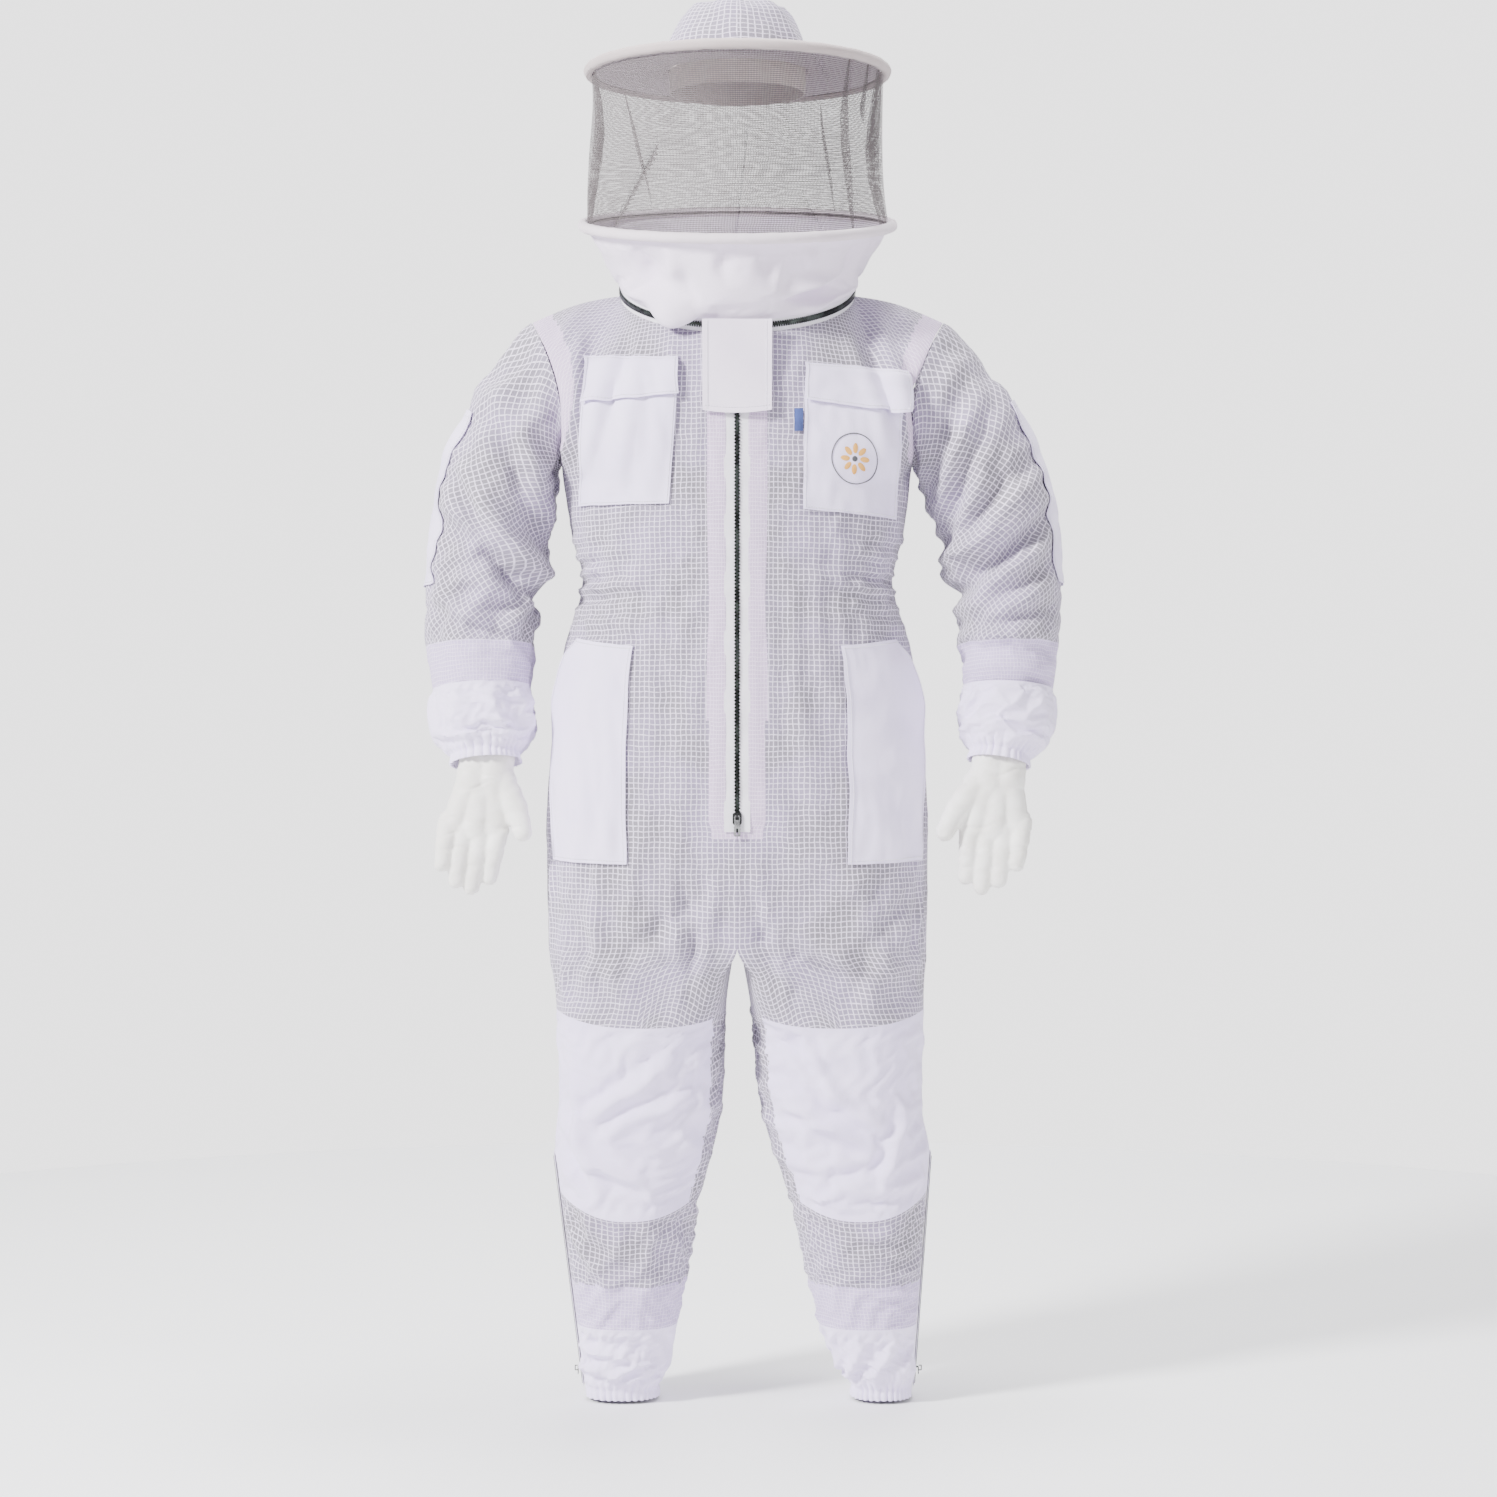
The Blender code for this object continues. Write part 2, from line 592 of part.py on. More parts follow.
def make_chest_pockets(tree):
    for side, word in SIDES:
        for name, corners, lift, thick in (
            (f"chest_pocket_{word}", CHEST_POCKET[side], POCKET_LIFT, POCKET_CLOTH),
            (f"chest_flap_{word}", CHEST_FLAP[side], FLAP_LIFT, FLAP_CLOTH),
        ):
            def patch(u, v, corners=corners, side=side):
                top_in, top_out, low_in, low_out = (Vector((*c, 0)) for c in corners)
                spot = low_in.lerp(low_out, u).lerp(top_in.lerp(top_out, u), v)
                return on_front(tree, side * spot.x, spot.y)
            item = shell(name, patch, spans(0, 1, 7), spans(0, 1, 6), "cotton",
                         Vector((0, 0, 1.2)), thickness=thick, lift=lift)
            if "flap" in name:
                pivot_at(item, chest_flap_pivot(tree, side))


def chest_flap_pivot(tree, side):
    """The flap turns about a line just outside its stitched top edge, clear of the panel."""
    inner, outer = (on_front(tree, side * x, z) for x, z in CHEST_FLAP[side][:2])
    outside, above = FLAP_LIFT + 0.003, 0.005
    return ((inner.x + outer.x) / 2, (inner.y + outer.y) / 2 - outside, max(inner.z, outer.z) + above)


def make_hip_pockets():
    """A patch pocket on each hip, cut away at the top outer corner to let a hand in."""
    for side, word in SIDES:
        def patch(u, v, side=side):
            z = HIP_POCKET_BOTTOM + (HIP_POCKET_TOP - HIP_POCKET_BOTTOM) * v
            inner = 0.38 + 0.03 * v
            slant = max(0.0, (z - HIP_SLANT_BOTTOM) / (HIP_POCKET_TOP - HIP_SLANT_BOTTOM))
            outer = 0.80 + 0.10 * smooth((z - HIP_POCKET_BOTTOM) / 0.14) - 0.14 * slant
            share = (z - CROTCH_Z) / (middle_edge(1, True).z - CROTCH_Z)
            return torso_point(side, inner + (outer - inner) * u, share)
        shell(f"hip_pocket_{word}", patch, spans(0, 1, 5), spans(0, 1, 4), "cotton",
              Vector((0, 0, 0.8)), thickness=POCKET_CLOTH, lift=HIP_POCKET_LIFT)


def make_label(tree):
    place = on_front(tree, 0.0735, 1.19)
    outline = [(-0.0055, -0.0004), (0.0050, -0.0004), (0.0050, 0.0004), (-0.0055, 0.0004)]
    frames = [lambda x, y, z=z: Vector((place.x + x, place.y - 0.0030 + y, z))
              for z in (1.177, 1.204)]
    swept("side_label", outline, frames, "blue")


def make_throat_flap():
    """The cloth tab on the hood that covers the place where the zips meet."""
    top, low, half, y = 1.3095, 1.199, 0.0415, FRONT_Y - 0.0078
    outline = [(-half, -0.0008), (half, -0.0008), (half, 0.0008), (-half, 0.0008)]
    frames = [lambda x, dy, z=z, s=s: Vector((x * s, y + dy, z))
              for z, s in ((low, 0.97), (top, 1.0))]
    item = swept("throat_flap", outline, frames, "cotton")
    pivot_at(item, (0, y, top))


# ---------------------------------------------------------------- sleeves
def arm_place(side, s):
    """The middle, half-width and half-depth of the arm at the share s of its length."""
    line = [Vector((side * x, y, z)) for x, y, z in ARM_LINE[side]]
    lengths = [0.0]
    for a, b in zip(line, line[1:]):
        lengths.append(lengths[-1] + (b - a).length)
    rows = [(length / lengths[-1], *place, wide, deep) for length, place, wide, deep
            in zip(lengths, line, ARM_WIDTH[side], ARM_DEPTH)]
    values = [along(rows, s, k) for k in range(1, 6)]
    return Vector(values[:3]), values[3], values[4]


def arm_surface(side, turn, s):
    """Turn 0 is the outer or upper side, a quarter turn is the front."""
    middle, wide, deep = arm_place(side, s)
    ahead = arm_place(side, min(s + 0.02, 1))[0] - arm_place(side, max(s - 0.02, 0))[0]
    ahead.normalize()
    front = Vector((0, -1, 0))
    front = (front - ahead * front.dot(ahead)).normalized()
    outward = ahead.cross(front) * side
    if outward.x * side < 0:
        outward = -outward
    place = middle + outward * wide * math.cos(turn) + front * deep * math.sin(turn)
    hole = armhole_point(side, turn) + Vector((side * 0.0022, 0, 0))
    point = hole.lerp(place, smooth(s / 0.22))
    point.x = side * max(abs(point.x), min(abs(hole.x), 0.2172) + 0.05 * s)
    return point


def make_sleeves():
    around = spans(0, 2 * math.pi, 16)
    for side, word in SIDES:
        surface = lambda u, v, side=side: arm_surface(side, u, v)
        core = lambda v, side=side: arm_place(side, v)[0]
        pieces = (
            (f"sleeve_cap_{word}", 0.0, CAP_END, 3, "mesh"),
            (f"upper_sleeve_{word}", CAP_END, UPPER_END, 2, "mesh"),
            (f"elbow_sleeve_{word}", UPPER_END, ELBOW_END, 3, "mesh"),
            (f"lower_sleeve_{word}", ELBOW_END, BAND_END, 2, "mesh"),
            (f"wrist_cuff_{word}", BAND_END, 1.0, 2, "cotton"),
        )
        for name, low, high, rows, look in pieces:
            shell(name, surface, around, spans(low + 0.0015, high - 0.0015, rows), look, core,
                  loop=True)
        rows = (spans(CAP_END + 0.0015, UPPER_END - 0.0015, 2)
                + spans(UPPER_END + 0.0015, ELBOW_END - 0.0015, 3)[:3])
        shell(f"elbow_patch_{word}", surface, spans(-math.pi / 2, 0, 4), rows, "cotton", core,
              thickness=POCKET_CLOTH, lift=0.0020)


def make_gloves():
    """Soft leather gloves: a union of rounded parts, hollow from the wrist to the palm."""
    for side, word in SIDES:
        wrist = Vector(ARM_LINE[side][-1])
        tilt = 0.010 if side == LEFT else -0.016
        def at(across, forward, down):
            return Vector((side * (wrist.x - across - tilt * down / 0.1),
                           wrist.y - forward - 0.012, wrist.z - down))
        parts = [
            (at(0.000, -0.012, -0.045), at(0.002, 0.000, 0.02), 0.026, 0.026),
            (at(-0.010, 0.0, 0.03), at(-0.020, 0.006, 0.085), 0.020, 0.018),
            (at(0.012, 0.0, 0.03), at(0.016, 0.006, 0.085), 0.022, 0.018),
            (at(0.026, 0.002, 0.03), at(0.060, 0.022, 0.090), 0.015, 0.011),
        ]
        for i in range(4):
            x = -0.034 + 0.0215 * i
            length = (0.128, 0.148, 0.152, 0.140)[i]
            parts.append((at(x * 0.8, 0.006, 0.07), at(x, 0.016, length), 0.0115, 0.0095))
        work = bmesh.new()
        for a, b, ra, rb in parts:
            capsule(work, a, b, ra, rb)
        mesh = bpy.data.meshes.new(f"glove_{word}")
        work.to_mesh(mesh)
        work.free()
        item = add(f"glove_{word}", mesh, "leather")
        remesh = item.modifiers.new("one_skin", "REMESH")
        remesh.mode = "VOXEL"
        remesh.voxel_size = 0.0045
        fewer = item.modifiers.new("fewer_faces", "DECIMATE")
        fewer.ratio = 0.08
        hollow = cutter_tube(f"glove_bore_{word}", at(0.0, -0.018, -0.075), at(0.004, 0.004, 0.07),
                             0.021, 0.014)
        cut = item.modifiers.new("hollow", "BOOLEAN")
        cut.object = hollow
        cut.solver = "EXACT"


def capsule(work, a, b, ra, rb):
    """A tapered rod with round ends, added to a bmesh."""
    direction = b - a
    turn = direction.to_track_quat("Z", "Y").to_matrix().to_4x4()
    length = direction.length
    bmesh.ops.create_cone(work, cap_ends=True, segments=12, radius1=ra, radius2=rb, depth=length,
                          matrix=Matrix.Translation((a + b) / 2) @ turn)
    for place, radius in ((a, ra), (b, rb)):
        bmesh.ops.create_uvsphere(work, u_segments=12, v_segments=8, radius=radius,
                                  matrix=Matrix.Translation(place) @ turn)


def cutter_tube(name, a, b, ra, rb):
    work = bmesh.new()
    direction = b - a
    turn = direction.to_track_quat("Z", "Y").to_matrix().to_4x4()
    bmesh.ops.create_cone(work, cap_ends=True, segments=10, radius1=ra, radius2=rb,
                          depth=direction.length, matrix=Matrix.Translation((a + b) / 2) @ turn)
    mesh = bpy.data.meshes.new(name)
    work.to_mesh(mesh)
    work.free()
    item = bpy.data.objects.new(name, mesh)
    bpy.context.collection.objects.link(item)
    item.hide_render = True
    item.display_type = "WIRE"
    return item


# ---------------------------------------------------------------- legs
def leg_middle_y(z):
    """The leg leans back a little towards the ankle, in a straight line below the knee."""
    return 0.015 - 0.05 * z if z < 0.36 else -0.003 + 0.0055 * smooth((z - 0.36) / 0.205)


def leg_surface(side, turn, z):
    """Turn 0 is the front and a quarter turn is the outer side."""
    outer, inner = LEG_OUTER[side], LEG_INNER[side]
    far = level(outer, z) if z < LEG_ZIP_TOP else along(outer, z)
    near = along(inner, z)
    deep = along(LEG_DEPTH, z)
    sin, cos = math.sin(turn), math.cos(turn)
    corner = ROUNDNESS + 6 * smooth((z - 0.44) / 0.125) if sin < 0 else ROUNDNESS
    x = (far + near) / 2 + (far - near) / 2 * power(sin, 2 / corner)
    y = leg_middle_y(z) - deep * power(cos, 2 / corner)
    return Vector((side * x, y, z))


def make_legs():
    around = spans(0, 2 * math.pi, 20)
    quarter = math.pi / 2
    for side, word in SIDES:
        surface = lambda u, v, side=side: leg_surface(side, u, v)
        core = lambda v, side=side: Vector((
            side * (along(LEG_OUTER[side], v) + along(LEG_INNER[side], v)) / 2, leg_middle_y(v), v))
        shell(f"thigh_{word}", surface, around, spans(KNEE_TOP + GAP, CROTCH_Z - 0.0012, 2),
              "mesh", core, loop=True)
        shell(f"knee_panel_{word}", surface, spans(-quarter + 0.02, quarter - 0.02, 9),
              spans(KNEE_BOTTOM + GAP, KNEE_TOP - GAP, 4), "cotton", core)
        shell(f"knee_back_{word}", surface, spans(quarter + 0.02, 3 * quarter - 0.02, 9),
              spans(KNEE_BOTTOM + GAP, KNEE_TOP - GAP, 4), "mesh", core)
        shell(f"shin_{word}", surface, around, spans(HEM_BAND_BOTTOM + GAP, KNEE_BOTTOM - GAP, 3),
              "mesh", core, loop=True)
        shell(f"ankle_cuff_{word}", surface, around, spans(0.0, HEM_BAND_BOTTOM - GAP, 3),
              "cotton", core, loop=True)


def build():
    clear_scene()
    make_hoops()
    make_hat()
    make_hood()
    make_hood_zip()
    make_throat_flap()
    make_panels()
    make_waist_elastic()
    make_main_zip()
    tree = front_tree()
    make_chest_pockets(tree)
    make_hip_pockets()
    make_label(tree)
    make_sleeves()
    make_gloves()
    make_legs()
    make_leg_zips()


build()
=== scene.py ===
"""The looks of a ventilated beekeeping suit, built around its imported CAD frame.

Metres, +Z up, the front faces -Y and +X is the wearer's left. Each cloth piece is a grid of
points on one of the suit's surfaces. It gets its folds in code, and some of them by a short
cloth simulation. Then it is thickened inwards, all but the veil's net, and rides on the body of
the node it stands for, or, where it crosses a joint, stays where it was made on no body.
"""

import copy
import math

import bmesh
import bpy
import numpy as np
from mathutils import Matrix, Vector
from mathutils.bvhtree import BVHTree


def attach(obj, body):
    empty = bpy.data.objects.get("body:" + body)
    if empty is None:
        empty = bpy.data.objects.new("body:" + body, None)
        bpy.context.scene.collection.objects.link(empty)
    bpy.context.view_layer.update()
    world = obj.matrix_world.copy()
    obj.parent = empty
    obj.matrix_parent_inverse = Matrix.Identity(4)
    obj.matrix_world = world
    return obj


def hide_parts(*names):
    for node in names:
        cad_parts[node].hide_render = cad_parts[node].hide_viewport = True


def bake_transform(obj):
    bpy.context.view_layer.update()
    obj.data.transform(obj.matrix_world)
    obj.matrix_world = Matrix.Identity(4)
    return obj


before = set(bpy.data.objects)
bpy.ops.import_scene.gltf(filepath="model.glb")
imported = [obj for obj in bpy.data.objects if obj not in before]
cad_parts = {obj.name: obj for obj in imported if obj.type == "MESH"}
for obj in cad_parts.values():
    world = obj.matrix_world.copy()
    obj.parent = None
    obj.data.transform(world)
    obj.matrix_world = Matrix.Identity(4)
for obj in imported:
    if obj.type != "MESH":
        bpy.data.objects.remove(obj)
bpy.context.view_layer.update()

# ---------------------------------------------------------------- the suit's own dimensions
QUARTER = math.pi / 2
CLOTH, COTTON, TAPE_CLOTH = 0.0014, 0.0010, 0.0008  # thicknesses
RING_R, RING_Z, RING_TILT = 0.1437, 1.362, math.radians(24.5)
ZIP_TAPE = 0.0090
LOWER_HOOP_R, LOWER_HOOP_Z, LOWER_HOOP_TILT = 0.190, 1.441, math.radians(13)
UPPER_HOOP_R, UPPER_HOOP_Z = 0.1825, 1.628
CASING_R, CASING_BORE = 0.0065, 0.0050
CROWN_R, CROWN_EDGE, CROWN_TOP = 0.090, 0.0575, 1.716
FRONT_Y = -0.134
ZIP_TOP, ZIP_BOTTOM = 1.292, 0.700
UPPER_SLIDER_Z, LOWER_SLIDER_Z = 1.277, 0.716
TAPE_EDGE, FACING_EDGE = 0.0140, 0.0330
ARMHOLE_Z, ARMHOLE_HALF_HEIGHT, ARMHOLE_HALF_DEPTH = 1.231, 0.089, 0.080
CROTCH_Z, WAIST_Z = 0.565, 1.001
KNEE_TOP, KNEE_BOTTOM = 0.476, 0.243
HEM_BAND_TOP, HEM_BAND_BOTTOM = 0.146, 0.092
LEG_ZIP_TOP, LEG_ZIP_BOTTOM = 0.302, 0.012
LEFT, RIGHT = 1, -1
SIDES = ((LEFT, "left"), (RIGHT, "right"))
GRID = 0.0064  # pitch of the mesh cloth's white squares
INSEAM_COLUMNS = 20  # the columns of a torso half that lie along the inner leg
LEG_ROWS, BODY_ROWS = 20, 150  # the rows of a torso half below and above the crotch
OPEN_TOP, ALL_ROUND = ("left", "right", "bottom"), ("left", "right", "bottom", "top")
CREASE_GAIN = 1.5

TORSO = (  # height, half width, front plane, back plane, half width of the flat front
    (0.565, 0.2325, -0.120, 0.125, 0.117),
    (0.650, 0.2338, -0.130, 0.143, 0.080),
    (0.750, 0.2325, -0.134, 0.148, 0.030),
    (0.840, 0.2240, -0.134, 0.140, 0.0),
    (0.920, 0.2130, -0.134, 0.126, 0.0),
    (1.001, 0.1905, -0.134, 0.116, 0.0),
    (1.060, 0.2040, -0.134, 0.124, 0.0),
    (1.142, 0.2130, -0.134, 0.140, 0.0),
    (1.231, 0.2155, -0.134, 0.148, 0.0),
    (1.303, 0.2155, -0.132, 0.145, 0.0),
    (1.421, 0.2155, -0.132, 0.131, 0.0),
)
ROUNDNESS = 2.4
LEG_OUTER = {  # height, distance from the middle
    LEFT: ((0.0, 0.2143), (0.302, 0.2355), (0.353, 0.2270), (0.489, 0.2290), (0.565, 0.2330)),
    RIGHT: ((0.0, 0.1863), (0.302, 0.2235), (0.372, 0.2190), (0.489, 0.2230), (0.565, 0.2330)),
}
LEG_INNER = {
    LEFT: ((0.0, 0.140), (0.015, 0.138), (0.050, 0.122), (0.090, 0.100), (0.243, 0.0646),
           (0.353, 0.030), (0.489, 0.0150), (0.565, 0.0020)),
    RIGHT: ((0.0, 0.097), (0.015, 0.095), (0.050, 0.088), (0.095, 0.073), (0.243, 0.046),
            (0.353, 0.020), (0.489, 0.0130), (0.565, 0.0020)),
}
LEG_DEPTH = ((0.0, 0.042), (0.04, 0.052), (0.09, 0.064), (0.13, 0.070), (0.243, 0.082),
             (0.36, 0.090), (0.489, 0.105), (0.565, 0.1225))
ARM_LINE = {  # the sleeve's middle line, from the armhole to the wrist
    LEFT: ((0.240, 0.000, 1.227), (0.289, 0.002, 1.154), (0.322, 0.000, 1.057),
           (0.331, -0.010, 0.952), (0.330, -0.022, 0.857), (0.318, -0.040, 0.780)),
    RIGHT: ((0.240, 0.000, 1.227), (0.280, 0.002, 1.154), (0.304, 0.000, 1.057),
            (0.312, -0.010, 0.952), (0.310, -0.024, 0.857), (0.305, -0.044, 0.780)),
}
ARM_WIDTH = {
    LEFT: (0.089, 0.080, 0.072, 0.064, 0.053, 0.038),
    RIGHT: (0.089, 0.078, 0.072, 0.070, 0.060, 0.044),
}
ARM_DEPTH = (0.080, 0.085, 0.080, 0.070, 0.060, 0.042)
CAP_END, UPPER_END, ELBOW_END, BAND_END = 0.16, 0.33, 0.62, 0.80
BAND_START = 0.68  # the dense lined band above the cuff
PULL_PIVOT_OUT = 0.0044  # how far the pulls hang in front of the main zip's chain
CHEST_FLAP = {  # upper inner, upper outer, lower inner and lower outer corner: x, z
    LEFT: ((0.0806, 1.2595), (0.2050, 1.2530), (0.0806, 1.2140), (0.2050, 1.1990)),
    RIGHT: ((0.0707, 1.2660), (0.1863, 1.2718), (0.0707, 1.2214), (0.1850, 1.2115)),
}
CHEST_POCKET = {
    LEFT: ((0.0806, 1.2400), (0.2000, 1.2330), (0.0780, 1.0850), (0.1900, 1.0750)),
    RIGHT: ((0.0710, 1.2450), (0.1850, 1.2480), (0.0806, 1.0910), (0.1900, 1.0910)),
}


# ---------------------------------------------------------------- small mathematics
def smooth(x):
    x = min(1.0, max(0.0, x))
    return x * x * (3 - 2 * x)


def ease(x):
    """smooth() for arrays."""
    x = np.clip(x, 0, 1)
    return x * x * (3 - 2 * x)


def hump(x, at, width):
    """A rounded hill: 1 at its middle, and close to 0 two widths away."""
    return np.exp(-(((x - at) / width) ** 2))


def along(table, z, column=1):
    """A smooth curve through a table's rows: cubic, with each row's slope from its neighbours."""
    zs = [row[0] for row in table]
    ys = [row[column] for row in table]
    if z <= zs[0]:
        return ys[0]
    if z >= zs[-1]:
        return ys[-1]
    i = max(k for k in range(len(zs) - 1) if zs[k] <= z)
    width = zs[i + 1] - zs[i]
    t = (z - zs[i]) / width

    def slope(k):
        a, b = max(0, k - 1), min(len(zs) - 1, k + 1)
        return (ys[b] - ys[a]) / (zs[b] - zs[a])

    return (
        (2 * t**3 - 3 * t**2 + 1) * ys[i]
        + (t**3 - 2 * t**2 + t) * width * slope(i)
        + (-2 * t**3 + 3 * t**2) * ys[i + 1]
        + (t**3 - t**2) * width * slope(i + 1)
    )


def level(table, z):
    return float(np.interp(z, [row[0] for row in table], [row[1] for row in table]))


def power(value, exponent):
    return math.copysign(abs(value) ** exponent, value)


def spans(low, high, steps):
    return [low + (high - low) * i / steps for i in range(steps + 1)]


# ---------------------------------------------------------------- the suit's surfaces
def tilted(turn, radius, rise, height, tilt):
    """A point of a ring that is low in front: turn 0 is its front, rise is along its axis."""
    across, out = radius * math.sin(turn), -radius * math.cos(turn)
    sin, cos = math.sin(tilt), math.cos(tilt)
    return Vector((across, out * cos - rise * sin, height + out * sin + rise * cos))


def ring_point(turn, radius=RING_R, rise=0.0):
    return tilted(turn, radius, rise, RING_Z, RING_TILT)


def lower_hoop_point(turn, radius=LOWER_HOOP_R, rise=0.0):
    return tilted(turn, radius, rise, LOWER_HOOP_Z, LOWER_HOOP_TILT)


def upper_hoop_point(turn, radius=UPPER_HOOP_R, rise=0.0):
    return tilted(turn, radius, rise, UPPER_HOOP_Z, 0.0)


def section(x, z, side_x, side_y, front):
    """The body's depth at x: flat in the middle, and rounded towards the side."""
    plane, flat = along(TORSO, z, 2 if front else 3), along(TORSO, z, 4)
    reach = (abs(x) - flat) / max(side_x - flat, 1e-6)
    bulge = 1.0 if reach <= 0 else max(0.0, 1 - reach**ROUNDNESS) ** (1 / ROUNDNESS)
    return side_y + (plane - side_y) * bulge


def armhole_point(side, turn):
    """The armhole seam: turn 0 is the shoulder's top, a quarter turn is its front."""
    sin, cos = math.sin(turn), math.cos(turn)
    x = 0.2325 + 0.0195 * cos - 0.017 * sin * sin
    return Vector((side * x, -ARMHOLE_HALF_DEPTH * sin, ARMHOLE_Z + ARMHOLE_HALF_HEIGHT * cos))


def side_edge(side, v, front):
    bottom = ARMHOLE_Z - ARMHOLE_HALF_HEIGHT
    share = (bottom - CROTCH_Z) / (bottom - CROTCH_Z + 0.20)
    if v <= share:
        z = CROTCH_Z + (bottom - CROTCH_Z) * v / share
        return Vector((side * along(TORSO, z, 1), 0, z))
    turn = math.pi * (1 - (v - share) / (1 - share))
    return armhole_point(side, turn if front else -turn)


def middle_edge(v, front):
    end = ring_point(0 if front else math.pi, RING_R, -ZIP_TAPE)
    z = CROTCH_Z + (end.z - CROTCH_Z) * v
    y = along(TORSO, z, 2 if front else 3)
    return Vector((0, y + (end.y - y) * smooth((v - 0.985) / 0.015), z))


def top_edge(side, u, front):
    neck_share = 0.64
    if u <= neck_share:
        turn = u / neck_share * math.pi / 2
        turn = side * (turn if front else math.pi - turn)
        return ring_point(turn, RING_R, -ZIP_TAPE)
    t = (u - neck_share) / (1 - neck_share)
    neck = ring_point(side * math.pi / 2, RING_R, -ZIP_TAPE)
    bow = Vector((0, 0, 0.006 * math.sin(math.pi * t)))
    return neck.lerp(armhole_point(side, 0), t) + bow


def torso_point(side, u, v, front=True):
    """The torso's outer face: u runs from the middle to the side, v from leg to neck."""
    outer, middle = side_edge(side, v, front), middle_edge(v, front)
    rise = smooth((v - 0.80) / 0.20) ** 1.5

    def body(at):
        x = side * abs(outer.x) * math.sin(at * math.pi / 2)
        z = middle.z + (outer.z - middle.z) * at * at
        point = Vector((x, section(x, z, abs(outer.x), outer.y, front), z))
        return point.lerp(top_edge(side, at, front), rise)

    return body(u) + (1 - u) * (middle - body(0)) + u * (outer - body(1))


def leg_middle_y(z):
    return 0.015 - 0.05 * z if z < 0.36 else -0.003 + 0.0055 * smooth((z - 0.36) / 0.205)


def leg_surface(side, turn, z):
    """Turn 0 is the front and a quarter turn is the outer side."""
    outer, inner = LEG_OUTER[side], LEG_INNER[side]
    far = level(outer, z) if z < LEG_ZIP_TOP else along(outer, z)
    near, deep = along(inner, z), along(LEG_DEPTH, z)
    sin, cos = math.sin(turn), math.cos(turn)
    corner = ROUNDNESS + 6 * smooth((z - 0.44) / 0.125) if sin < 0 else ROUNDNESS
    x = (far + near) / 2 + (far - near) / 2 * power(sin, 2 / corner)
    return Vector((side * x, leg_middle_y(z) - deep * power(cos, 2 / corner), z))


def leg_core(side, z):
    x = (along(LEG_OUTER[side], z) + along(LEG_INNER[side], z)) / 2
    return Vector((side * x, leg_middle_y(z), z))


def leg_zip_line(side, z):
    low, high = LEG_OUTER[side][0][1], LEG_OUTER[side][1][1]
    return Vector((side * (low + (high - low) * z / LEG_ZIP_TOP), leg_middle_y(z), z))


def arm_rows(side):
    line = [Vector((side * x, y, z)) for x, y, z in ARM_LINE[side]]
    lengths = [0.0]
    for a, b in zip(line, line[1:]):
        lengths.append(lengths[-1] + (b - a).length)
    return [(length / lengths[-1], *place, wide, deep) for length, place, wide, deep
            in zip(lengths, line, ARM_WIDTH[side], ARM_DEPTH)]


def arm_place(side, s):
    """The sleeve's middle, half width and half depth at a share of its length."""
    values = [along(arm_rows(side), s, k) for k in range(1, 6)]
    return Vector(values[:3]), values[3], values[4]


def arm_ring(side, s, turns):
    """One row of sleeve points. Turn 0 is the outer side, a quarter turn is the front."""
    middle, wide, deep = arm_place(side, s)
    ahead = arm_place(side, min(s + 0.02, 1))[0] - arm_place(side, max(s - 0.02, 0))[0]
    ahead.normalize()
    front = Vector((0, -1, 0))
    front = (front - ahead * front.dot(ahead)).normalized()
    outward = ahead.cross(front) * side
    if outward.x * side < 0:
        outward = -outward
    row = []
    for turn in turns:
        place = middle + outward * wide * math.cos(turn) + front * deep * math.sin(turn)
        hole = armhole_point(side, turn) + Vector((side * 0.0015, 0, 0))
        point = hole.lerp(place, smooth(s / 0.22))
        point.x = side * max(abs(point.x), min(abs(hole.x), 0.2172) + 0.05 * s)
        row.append(point)
    return row


